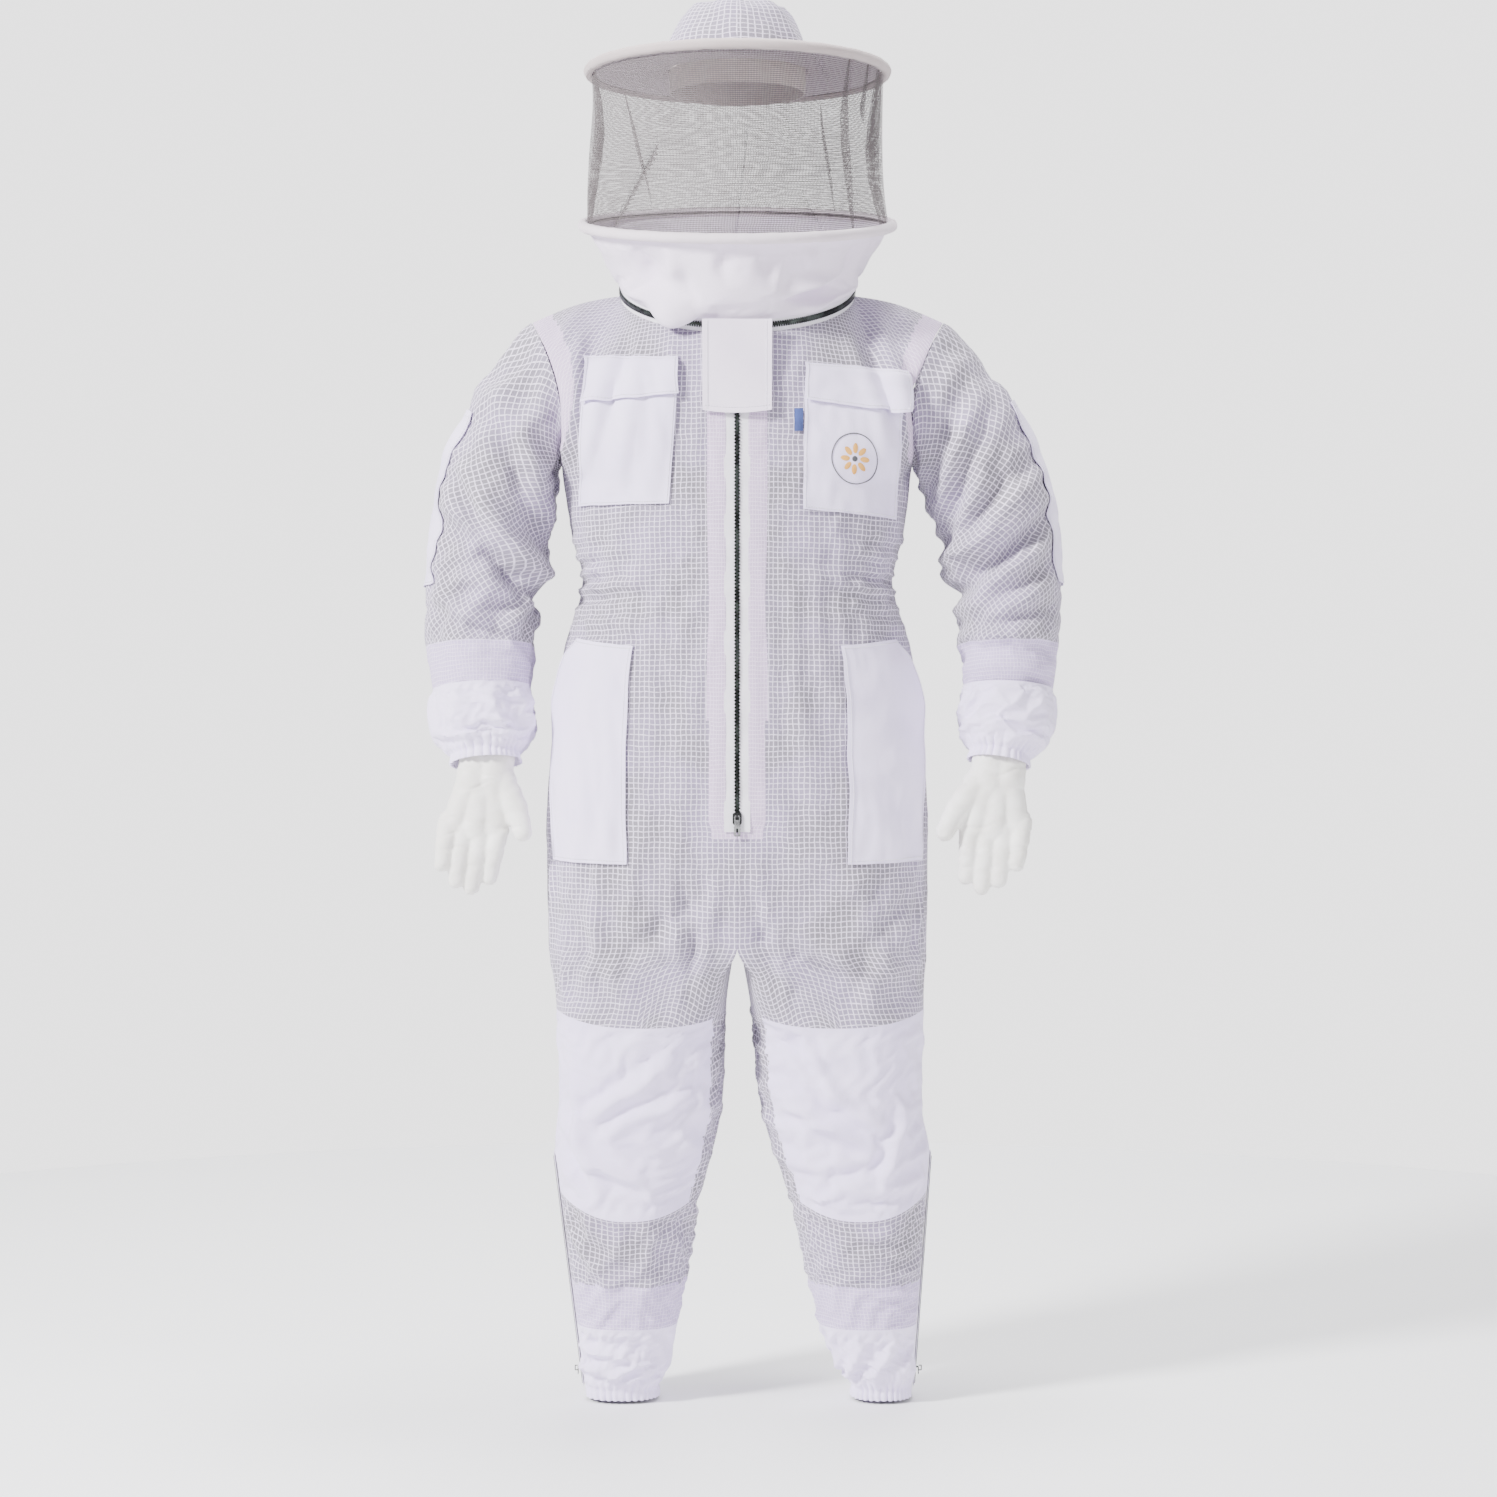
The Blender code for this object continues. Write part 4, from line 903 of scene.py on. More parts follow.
def make_veil():
    """The net between the hoops: one layer of faces, with folds in it and holes in its material."""
    rows = []
    for v in spans(0, 1, 34):
        row = []
        for t in around(840):
            shift, out = veil_shift(t, v)
            turn = t + shift
            sway = 0.0035 * math.sin(3 * t + 2 * v) + 0.002 * math.sin(8 * t + 4 * v)
            sag = (sway - 0.004) * math.sin(math.pi * v)
            low = lower_hoop_point(turn, LOWER_HOOP_R - 0.005 + out, CASING_R - 0.001)
            high = upper_hoop_point(turn, UPPER_HOOP_R - 0.003 + out, -CASING_R + 0.001)
            point = low.lerp(high, v)
            point += Vector((math.sin(turn), -math.cos(turn), 0)) * sag
            row.append(point)
        rows.append(row)
    sheet = Sheet(rows, (0, 0, 1.53), wrap=True)
    quads, _, width = sheet_faces(sheet)
    uvs = [(sheet.U[c], sheet.V[c]) for _, corners in quads for c in corners]
    item = mesh_object("veil_net_cloth", sheet.P[:, :width].reshape(-1, 3), [q for q, _ in quads],
                       [NET], uvs, sharp=180)
    joined(item, ["veil_net"],
           blend=("hood", "hat", (0, 0, LOWER_HOOP_Z + 0.04), (0, 0, UPPER_HOOP_Z - 0.012)))


# ---------------------------------------------------------------- hood
SKIRT_FLARE = 2.3  # how quickly the skirt narrows below the lower hoop
SKIRT_PUFFS = (  # how far out, place round the hood, width, place up the skirt, height
    (0.022, -0.56, 0.20, 0.24, 0.17), (0.012, -0.98, 0.22, 0.24, 0.20),
    (-0.010, -0.72, 0.10, 0.62, 0.20), (0.011, -0.47, 0.07, 0.70, 0.16),
    (-0.008, 0.24, 0.06, 0.72, 0.16), (0.012, 0.68, 0.26, 0.15, 0.13),
    (0.013, 1.05, 0.20, 0.28, 0.20), (-0.007, -0.10, 0.05, 0.78, 0.15),
    (0.007, 0.52, 0.06, 0.82, 0.14), (-0.009, 0.95, 0.08, 0.72, 0.20),
    (0.006, 1.7, 0.25, 0.4, 0.3), (0.008, -1.6, 0.3, 0.4, 0.3),
    (0.007, 2.6, 0.3, 0.4, 0.3), (0.006, -2.5, 0.3, 0.4, 0.3),
)


def make_skirt():
    """The hood's cotton skirt, cut wider than its place, so it bags over the zip."""
    rows = []
    for v in spans(0, 1, 44):
        row = []
        for t in around(240):
            low = ring_point(t, RING_R + 0.001, ZIP_TAPE - 0.002)
            high = lower_hoop_point(t, LOWER_HOOP_R - 0.002, -CASING_R + 0.001)
            point = low.lerp(high, v)
            flare = low.lerp(high, v**SKIRT_FLARE)
            front = max(0.0, math.cos(t)) ** 2
            row.append(Vector((flare.x, flare.y - 0.004 * front * math.sin(math.pi * v), point.z)))
        rows.append(row)
    sheet = Sheet(rows, (0, 0, 1.40), wrap=True)
    angle = sheet.bearing()
    v = np.linspace(0, 1, len(rows))[:, None]

    def lobe(place, width, at, tall):
        return np.exp(-(((angle - place) / width) ** 2) - ((v - at) / tall) ** 2)

    puff = sum(out * lobe(*shape) for out, *shape in SKIRT_PUFFS)
    overhang = v - (0.40 + 0.45 * (angle - 0.62))  # above a slanting line at the wearer's left
    puff += 0.016 * np.tanh(overhang / 0.03) * hump(overhang, 0, 0.17) * lobe(0.66, 0.22, 0.4, 9)
    edge = 0.06 + 0.10 * (1 - v)
    panel = ease((angle + 0.42 - 0.16 * (1 - v) + edge / 2) / edge)
    panel *= ease((0.34 - angle + edge / 2) / edge)
    puff += 0.009 * panel * np.sin(np.pi * np.clip(v * 1.15, 0, 1))
    sheet.lift(puff * ease(v / 0.06) * ease((1 - v) / 0.16))
    sag = 0.022 * lobe(-0.56, 0.22, 0.14, 0.13) + 0.008 * lobe(0.62, 0.22, 0.14, 0.12)
    sheet.P[..., 2] -= sag * ease(v / 0.05)
    firm = ease((np.abs(v - 0.5) - 0.38) / 0.08) * np.ones_like(angle)
    settle(sheet, firm, grow=0.030, frames=12, gravity=0.5, cap=0.006)
    sheet.soften(1)
    item = cloth("neck_skirt_cloth", sheet, COTTON_WARM, thickness=COTTON)
    joined(item, ["neck_skirt"], "hood")


def zip_teeth(name, blocks, body):
    teeth = boxes(name, blocks, TEETH)
    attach(teeth, body)
    return teeth


def zip_ring(name, sign, body):
    """Half of the hood's zip: its tape, and its teeth on the edge."""
    rows = [[ring_point(t, RING_R, sign * rise) for t in around(180)]
            for rise in (0.0018, 0.0030, 0.0050, 0.0070, ZIP_TAPE)]
    sheet = Sheet(rows, (0, 0, RING_Z), wrap=True)
    tape = cloth(name + "_tape", sheet, TAPE, thickness=TAPE_CLOTH)
    blocks = []
    count = 300
    for k in range(count):
        turn = 2 * math.pi * (k + (0.5 if sign > 0 else 0)) / count
        here = ring_point(turn, RING_R + 0.0002, sign * 0.0012)
        ahead = ring_point(turn + 0.01, RING_R) - ring_point(turn - 0.01, RING_R)
        rise = ring_point(turn, RING_R, 1) - ring_point(turn, RING_R, 0)
        blocks.append(placed(here, (0.0018, 0.0034, 0.0050), (ahead, rise.cross(ahead), rise)))
    teeth = zip_teeth(name + "_teeth", blocks, body)
    joined(tape, [name + "_half"], body)


def slider_blocks(at, across, out, along_zip, size, pivot=0.003):
    """A slider: two plates, the wedge between them, and a bridge over the pull's head.

    size scales the plates, and pivot is how far along the zip the bridge sits.
    """
    at, across, out, along_zip = Vector(at), Vector(across), Vector(out), Vector(along_zip)
    plate = (0.0088 * size, 0.0011, 0.0115 * size)
    bridge = along_zip * pivot
    parts = [
        (out * 0.0026, plate),
        (-out * 0.0026, plate),
        (along_zip * 0.0052 * size, (0.0026 * size, 0.0046, 0.0020)),
        (out * 0.0063 + bridge, (0.0018, 0.0011, 0.0066)),
    ]
    for end in (-0.0028, 0.0028):
        parts.append((out * 0.0047 + bridge + along_zip * end, (0.0018, 0.0032, 0.0010)))
    return [placed(at + shift, box, (across, out, along_zip)) for shift, box in parts]


def slider(name, body, *shape):
    item = boxes(f"{name}_body", slider_blocks(*shape), LACQUER)
    joined(item, [name], body)


def pull_tab(name, pivot, down, out, length):
    """A pull tab with a slot at its head and a waist, as one bevelled plate."""
    pivot, down, out = Vector(pivot), Vector(down).normalized(), Vector(out).normalized()
    across = down.cross(out).normalized()
    wide = 0.0085
    shape = ((0.0, 0.60), (0.0020, 0.85), (0.0055, 0.80), (0.42 * length, 0.70), (0.62 * length, 0.84),
             (0.92 * length, 1.0), (length, 0.80))
    rows = [[pivot + down * at + across * (x * wide * share / 2)
             for x in (-1.0, -0.62, -0.3, 0.3, 0.62, 1.0)] for at, share in shape]
    sheet = Sheet(rows, pivot - out)
    keep = np.ones((len(shape) - 1, 5), bool)
    keep[1, 1:4] = False
    keep[4, 2] = False
    return cloth(name, sheet, STEEL, thickness=0.0010, keep=keep)


def make_hood_zip():
    """The zip's two halves, and the two sliders that meet in front under the throat flap."""
    zip_ring("hood_zip", 1, "hood")
    zip_ring("neck_zip", -1, "suit")
    for side, word in SIDES:
        turn = side * math.radians(4.5)
        rise = ring_point(turn, RING_R, 1) - ring_point(turn, RING_R, 0)
        ahead = ring_point(turn + 0.01) - ring_point(turn - 0.01)
        slider(f"hood_slider_{word}", f"hood_slide_{word}", ring_point(turn), rise,
               ahead.cross(rise).normalized(), ahead.normalized(), 0.9)


def make_throat_flap():
    """The flap over the zips' meeting place, hemmed, with its free corners curling a little."""
    top, low, half, y = 1.3095, 1.199, 0.0415, FRONT_Y - 0.0078
    rows = []
    for v in spans(0, 1, 30):
        row = []
        for u in spans(-1, 1, 24):
            x = half * u * (0.97 + 0.03 * v) + 0.003 * (1 - v) * (u * 0.3)
            curl = 0.0045 * (1 - v) ** 2 * (u * 0.5 + 0.3) ** 2 + 0.0012 * math.sin(2.2 * u + 4 * v)
            z = low + (top - low) * v + 0.0035 * (1 - v) * (u * u - 0.3)
            row.append((x, y - curl + 0.0008 * u * u, z))
        rows.append(row)
    sheet = Sheet(rows, (0, 0, 1.25))
    hem(sheet, OPEN_TOP, width=0.007, height=0.0006, groove=0.0007)
    item = cloth("throat_flap_cloth", sheet, [COTTON_WARM, COTTON_WHITE], thickness=COTTON)
    stitches(item, sheet, OPEN_TOP, 0.0062)
    joined(item, ["throat_flap"],
           blend=("hood", "throat_tab", (0, y, top - 0.002), (0, y, top - 0.022)))


# ---------------------------------------------------------------- hems and stitches
def hem(sheet, sides, width, height, groove):
    """A turned edge: the cloth is doubled along the border and dips at its line of stitches."""
    U, V = sheet.U, sheet.V
    edges = {"left": U, "right": U[:, -1:] - U, "bottom": V, "top": V[-1:] - V}
    amount = np.zeros_like(U)
    for side in sides:
        amount = np.maximum(amount, height * ease((width * 1.25 - edges[side]) / (width * 0.25)))
    for side in sides:
        amount = amount - groove * hump(edges[side], width, 0.0016)
    sheet.lift(amount)


def at_place(sheet, values, j, i):
    """The value of an array at a fractional row and column."""
    j0, i0 = min(int(j), values.shape[0] - 2), min(int(i), values.shape[1] - 2)
    a, b = j - j0, i - i0
    return ((1 - a) * (1 - b) * values[j0, i0] + (1 - a) * b * values[j0, i0 + 1]
            + a * (1 - b) * values[j0 + 1, i0] + a * b * values[j0 + 1, i0 + 1])


def stitches(item, sheet, sides, inset):
    """Adds each stitch as a small rod along the hem, in the piece's own mesh."""
    pitch, long = 0.0034, 0.0024
    last_row, last_column = sheet.P.shape[0] - 1, sheet.P.shape[1] - 1
    normals = sheet.normals()
    high, wide = sheet.V[-1].mean(), sheet.U[:, -1].mean()
    j_in, i_in = inset / high * last_row, inset / wide * last_column
    lines = {
        "left": ((0, i_in), (last_row, i_in), high),
        "right": ((0, last_column - i_in), (last_row, last_column - i_in), high),
        "bottom": ((j_in, 0), (j_in, last_column), wide),
        "top": ((last_row - j_in, 0), (last_row - j_in, last_column), wide),
    }
    work = bmesh.new()
    work.from_mesh(item.data)
    uv = work.loops.layers.uv.active
    index = len(item.data.materials)
    item.data.materials.append(THREAD)
    for side in sides:
        start, end, length = lines[side]
        count = int(length / pitch)
        for k in range(1, count):
            ends = []
            for offset in (-0.5, 0.5):
                t = (k + offset * long / pitch) / count
                j, i = start[0] + (end[0] - start[0]) * t, start[1] + (end[1] - start[1]) * t
                normal = Vector(at_place(sheet, normals, j, i))
                ends.append((Vector(at_place(sheet, sheet.P, j, i)) + normal * 0.0002, normal))
            for face in stitch(work, ends):
                face.material_index = index
                face.smooth = True
                for loop in face.loops:
                    loop[uv].uv = (loop.vert.co.x, loop.vert.co.z)
    bmesh.ops.recalc_face_normals(work, faces=[f for f in work.faces if f.material_index == index])
    work.to_mesh(item.data)
    work.free()
    return item


def stitch(work, ends):
    """A five-sided rod between two points of the cloth."""
    (a, n), (b, _) = ends
    across = (b - a).cross(n).normalized()
    thick = 0.00045
    ring = [[p + across * thick * x + n * thick * y for x, y in
             ((-1, 0), (-0.5, 1), (0.5, 1), (1, 0), (0, -0.8))] for p in (a, b)]
    low, up = ([work.verts.new(p) for p in r] for r in ring)
    made = [work.faces.new(low[::-1]), work.faces.new(up)]
    for m in range(5):
        made.append(work.faces.new((low[m], low[(m + 1) % 5], up[(m + 1) % 5], up[m])))
    return made


def patch(name, sheet, sides, inset):
    """A white cotton patch with its rows of stitches."""
    return stitches(cloth(name, sheet, COTTON_WHITE, thickness=COTTON), sheet, sides, inset)


# ---------------------------------------------------------------- coverall body
def knee_top(turn):
    """The knee panel's sewn edges dip in front."""
    return KNEE_TOP + 0.004 - 0.017 * max(0.0, math.cos(turn)) ** 2


def knee_bottom(turn):
    return KNEE_BOTTOM + 0.014 - 0.030 * max(0.0, math.cos(turn)) ** 2


def trunk_row(side, front, step, turns):
    """One row of a front or back half. A turn is -90 degrees at the inseam and 90 at the side."""
    row = []
    for turn in turns:
        outer = turn if front else math.pi - turn
        u = max(0.0, (turn + QUARTER / 2) / (1.5 * QUARTER))
        if step >= LEG_ROWS:
            point = torso_point(side, u, (step - LEG_ROWS) / BODY_ROWS, front)
            if turn < -QUARTER / 2:
                point = Vector((side * 0.0006, point.y * (turn + QUARTER) / (QUARTER / 2), point.z))
        else:
            start = knee_top(outer)
            z = start + (CROTCH_Z - start) * step / LEG_ROWS
            point = leg_surface(side, outer, z)
            if turn >= -QUARTER / 2:
                goal = torso_point(side, u, 0.0, front)
                goal.z = z
                point = point.lerp(goal, smooth((z - 0.520) / 0.045))
        row.append(point)
    return row


def trunk_sheet(side, front):
    """A half from the knee panel up to the neck. U is 0 at the suit's middle, V is the height."""
    turns = spans(-QUARTER, -QUARTER / 2, INSEAM_COLUMNS)[:-1] + spans(-QUARTER / 2, QUARTER, 60)
    rows = [trunk_row(side, front, k, turns) for k in range(LEG_ROWS + BODY_ROWS + 1)]
    middles = [(0.02 * side, 0, sum(p.z for p in row) / len(row)) for row in rows]
    sheet = Sheet(rows, middles)
    sheet.U = sheet.U - sheet.U[:, INSEAM_COLUMNS:INSEAM_COLUMNS + 1]
    sheet.V = sheet.V - sheet.V[LEG_ROWS:LEG_ROWS + 1] + CROTCH_Z
    keep = np.ones((len(rows) - 1, len(turns) - 1), bool)
    keep[LEG_ROWS + 2:, :INSEAM_COLUMNS] = False
    return sheet, keep, sheet.U > -1e-9


def edge_fade(sheet, left=0.02, right=0.02, bottom=0.02, top=0.02, first=0):
    """0 on the sheet's seams, 1 further in, so that folds die out where pieces are sewn."""
    fade = np.ones_like(sheet.U)
    U = sheet.U - sheet.U[:, first:first + 1]
    for away, width in ((U, left), (sheet.U[:, -1:] - sheet.U, right), (sheet.V - sheet.V[:1], bottom),
                        (sheet.V[-1:] - sheet.V, top)):
        if width:
            fade *= ease(away / width)
    return fade


def make_fronts():
    """Each front runs from the neck to the knee panel, with the zip's facing along its edge."""
    fronts = {}
    for side, word in SIDES:
        sheet, keep, outside = trunk_sheet(side, True)
        z, x = sheet.P[..., 2], np.abs(sheet.P[..., 0])
        fade = edge_fade(sheet, 0.05, 0.03, 0.03, 0.05, first=INSEAM_COLUMNS)
        folds = crumple(sheet, 0.095, 0.0036, 11 + side, (1.0, 2.2)) * fade
        waist = hump(z, WAIST_Z, 0.050)
        pulls = np.sin((z - 1.0) * 2 * math.pi / 0.021 + 2.5 * x / 0.1) * ease((x - 0.10) / 0.08)
        folds += 0.0038 * pulls * waist * edge_fade(sheet, 0, 0.006, 0, 0)
        folds += crumple(sheet, 0.050, 0.0026, 31 + side, (2.4, 1.0)) * waist * fade
        folds += crumple(sheet, 0.070, 0.0038, 41 + side, (1.0, 2.0)) * ease((0.70 - z) / 0.1) * fade
        for start, end, width, height in FRONT_CREASES[side]:
            folds += CREASE_GAIN * crease(sheet, start, end, width, height) * ease(sheet.U / 0.03)
        facing = ease((FACING_EDGE - sheet.U) / 0.003) * ease((z - ZIP_BOTTOM) / 0.02)
        folds += 0.0010 * facing - 0.0008 * hump(sheet.U, 0.0315, 0.0016) * facing
        folds += 0.0012 * hump(sheet.U, 0, 0.0022) * ease((ZIP_BOTTOM - z) / 0.03)
        sheet.lift(folds * outside - 0.0002)
        inner_edge = 0.0142 * ease((z - ZIP_BOTTOM - 0.001) / 0.012)
        held_back = np.maximum(inner_edge, 0.0004) * np.clip(1 - sheet.U / 0.06, 0, 1) ** 2
        sheet.P[..., 0] += side * held_back * outside
        sheet.P[..., 1] -= 0.0005 * ease((sheet.U - sheet.U[:, -1:] + 0.010) / 0.010)
        zone = (sheet.U[:-1, :-1] + sheet.U[1:, 1:]) / 2 < FACING_EDGE - 0.001
        zone &= outside[:-1, :-1] & (z[:-1, :-1] > ZIP_BOTTOM - 0.012)
        armhole = (sheet.U[:, -1:] - sheet.U < 0.028) & (z > ARMHOLE_Z - ARMHOLE_HALF_HEIGHT)
        zone |= armhole[:-1, :-1]
        item = cloth(f"suit_front_{word}", sheet, [WHITE_MESH, FACING], keep=keep, zone=zone)
        fronts[side] = sheet
        joined(item, [f"front_{word}", f"thigh_{word}"], "suit")
    return fronts


FRONT_CREASES = {  # start (x, z), end (x, z), width, height
    LEFT: (((0.205, 1.10), (0.13, 1.30), 0.010, 0.0035), ((0.215, 1.13), (0.17, 1.33), 0.012, 0.0045),
           ((0.19, 0.985), (0.08, 1.01), 0.009, 0.0030), ((0.20, 1.02), (0.11, 1.05), 0.008, 0.0025),
           ((0.03, 0.60), (0.13, 0.54), 0.014, 0.0045), ((0.02, 0.66), (0.06, 0.52), 0.010, 0.0035),
           ((0.20, 0.60), (0.15, 0.48), 0.014, 0.0035), ((0.06, 0.88), (0.10, 0.70), 0.014, 0.0020)),
    RIGHT: (((-0.205, 1.10), (-0.14, 1.30), 0.010, 0.0035), ((-0.21, 1.12), (-0.19, 1.30), 0.010, 0.0040),
            ((-0.19, 0.990), (-0.09, 1.00), 0.009, 0.0030), ((-0.20, 0.96), (-0.11, 0.94), 0.009, 0.0025),
            ((-0.03, 0.61), (-0.12, 0.53), 0.014, 0.0045), ((-0.02, 0.65), (-0.05, 0.51), 0.010, 0.0035),
            ((-0.19, 0.62), (-0.13, 0.49), 0.015, 0.0040), ((-0.05, 0.90), (-0.08, 0.72), 0.014, 0.0020)),
}


def make_back():
    """The back and both thighs' backs, as one piece with a seam down its middle."""
    for side, word in SIDES:
        sheet, keep, outside = trunk_sheet(side, False)
        z = sheet.P[..., 2]
        fade = edge_fade(sheet, 0.012, 0.03, 0.03, 0.05, first=INSEAM_COLUMNS)
        folds = crumple(sheet, 0.11, 0.0034, 51 + side, (1.0, 1.8)) * fade
        waist = hump(z, WAIST_Z, 0.034) * edge_fade(sheet, 0.004, 0.004, 0, 0, INSEAM_COLUMNS)
        folds += (gathers(sheet, 26, 0.0060, 60 + side) - 0.004) * waist
        folds += crumple(sheet, 0.06, 0.0026, 71 + side, (2.0, 1.0)) * ease((0.72 - z) / 0.12) * fade
        sheet.lift(folds * outside - 0.0002)
        sheet.P[..., 1] += 0.0005 * ease((sheet.U - sheet.U[:, -1:] + 0.010) / 0.010)
        item = cloth(f"suit_back_{word}", sheet, WHITE_MESH, keep=keep)
        joined(item, ["back"] if side == LEFT else [], "suit")

    nape = ring_point(math.pi, RING_R, -0.0106).z
    rows = [[torso_point(LEFT if u >= 0 else RIGHT, abs(u), (z - CROTCH_Z) / (nape - CROTCH_Z), False)
             for u in spans(-0.93, 0.93, 150)] for z in spans(0.986, 1.016, 8)]
    sheet = Sheet(rows, (0, 0, 1.0))
    sheet.lift(gathers(sheet, 60, 0.0012, 5) - 0.0105)
    item = cloth("waist_elastic_band", sheet, ELASTIC, thickness=0.0010)
    joined(item, ["waist_elastic"], "suit")


# ---------------------------------------------------------------- pockets
def surface_tree(sheets):
    """The sheets' faces, to find the cloth's surface with."""
    points, faces = [], []
    for sheet in sheets:
        quads, _, width = sheet_faces(sheet)
        start = len(points)
        points += [tuple(p) for p in sheet.P[:, :width].reshape(-1, 3)]
        faces += [[i + start for i in q] for q, _ in quads]
    return BVHTree.FromPolygons(points, faces)


def on_front(tree, x, z):
    hit = tree.ray_cast(Vector((x, -1, z)), Vector((0, 1, 0)))[0]
    return hit if hit is not None else Vector((x, 0, z))


def patch_sheet(tree, side, corners, columns, rows, bow=0.0, curl=0.0):
    """A patch laid on the cloth: bow drops its lower edge, and curl lifts its lower outer corner."""
    top_in, top_out, low_in, low_out = (Vector((*c, 0)) for c in corners)
    made = []
    for v in spans(0, 1, rows):
        row = []
        for u in spans(0, 1, columns):
            spot = low_in.lerp(low_out, u).lerp(top_in.lerp(top_out, u), v)
            drop = bow * math.sin(math.pi * u) * (1 - v)
            point = on_front(tree, side * spot.x, spot.y - drop)
            point.y -= curl * smooth((u - 0.80) / 0.20) * smooth((0.6 - v) / 0.6)
            row.append(point)
        made.append(row)
    sheet = Sheet(made, (0, 0, 1.15)).soften(4, held=False)
    sheet.measure()
    return sheet


def make_chest_pockets(tree):
    """A full patch pocket on each side of the chest, under its own flap."""
    for side, word in SIDES:
        sheet = patch_sheet(tree, side, CHEST_POCKET[side], 34, 44)
        u, v = unit_grid(34, 44)
        sheet.lift(0.0032 + 0.0022 * (np.sin(np.pi * v) * np.sin(np.pi * u)))
        hem(sheet, OPEN_TOP, width=0.006, height=0.0004, groove=0.0005)
        sheet.lift(crumple(sheet, 0.055, 0.0007, 81 + side, (1.0, 1.8)))
        pocket = patch(f"chest_pocket_{word}_cloth", sheet, OPEN_TOP, 0.0030)
        joined(pocket, [f"chest_pocket_{word}"], "suit")
        if side == LEFT:
            make_emblem(sheet)

        corners = CHEST_FLAP[side]
        sheet = patch_sheet(tree, side, corners, 36, 18, 0.001, 0.010 if side == LEFT else 0.002)
        _, v = unit_grid(36, 18)
        sheet.lift(0.0062 + 0.0022 * (1 - v) - 0.0042 * ease((v - 0.82) / 0.18))
        hem(sheet, OPEN_TOP, width=0.006, height=0.0005, groove=0.0005)
        sheet.lift(crumple(sheet, 0.05, 0.0005, 91 + side, (1.6, 1.0)))
        flap = patch(f"chest_flap_{word}_cloth", sheet, ALL_ROUND, 0.0035)
        x, z = side * (corners[0][0] + corners[1][0]) / 2, (corners[0][1] + corners[1][1]) / 2
        joined(flap, [f"chest_flap_{word}"],
               blend=("suit", f"pocket_lid_{word}", (x, -0.12, z - 0.002), (x, -0.12, z - 0.020)))


def unit_grid(columns, rows):
    """A grid's shares across and up, from 0 to 1."""
    return np.linspace(0, 1, columns + 1)[None], np.linspace(0, 1, rows + 1)[:, None]


def ellipse(wide, high, steps):
    return [(wide * math.cos(a), high * math.sin(a)) for a in around(steps)[:-1]]


def make_emblem(sheet):
    """A generic embroidered badge: a thin ring round a plain daisy."""
    last_row, last_column = sheet.P.shape[0] - 1, sheet.P.shape[1] - 1
    normals = sheet.normals()
    per_j, per_i = sheet.V[-1].mean() / last_row, sheet.U[:, -1].mean() / last_column

    def place(x, y, lift):
        j, i = 0.42 * last_row + y / per_j, 0.52 * last_column + x / per_i
        return Vector(at_place(sheet, sheet.P, j, i)) + Vector(at_place(sheet, normals, j, i)) * lift

    def sewn(name, points, faces, look):
        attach(mesh_object(name, points, faces, [look]), "suit")

    def dome(x, y, rim, high, first=0):
        """A point at x, y and a rim round it, and the faces between them."""
        points = [place(x, y, high)] + [place(*spot, 0.0003) for spot in rim]
        count = len(rim)
        return points, [[first, first + 1 + k, first + 1 + (k + 1) % count] for k in range(count)]

    circle, half = ellipse(0.030, 0.030, 72), 0.0007
    points, faces = [], []
    for k, (x, y) in enumerate(circle):
        ahead, behind = circle[(k + 1) % 72], circle[k - 1]
        direction = Vector((ahead[0] - behind[0], ahead[1] - behind[1])).normalized()
        out = Vector((-direction.y, direction.x)) * half
        points += [place(x + out.x * s, y + out.y * s, lift)
                   for s, lift in ((-1, 0.0003), (-0.6, 0.0009), (0.6, 0.0009), (1, 0.0003))]
        a, b = k * 4, (k + 1) % 72 * 4
        faces += [[a + m, a + m + 1, b + m + 1, b + m] for m in range(3)]
    sewn("emblem_ring", points, faces, DARK_THREAD)

    points, faces = [], []
    for turn in around(8)[:-1]:
        cos, sin = math.cos(turn), math.sin(turn)
        middle = 0.0125 * cos, 0.0125 * sin
        rim = [(middle[0] + x * cos - y * sin, middle[1] + x * sin + y * cos)
               for x, y in ellipse(0.0062, 0.0033, 14)]
        petal = dome(*middle, rim, 0.0013, len(points))
        points += petal[0]
        faces += petal[1]
    sewn("emblem_petals", points, faces, AMBER)
    sewn("emblem_heart", *dome(0, 0, ellipse(0.0034, 0.0034, 18), 0.0014), DARK_THREAD)


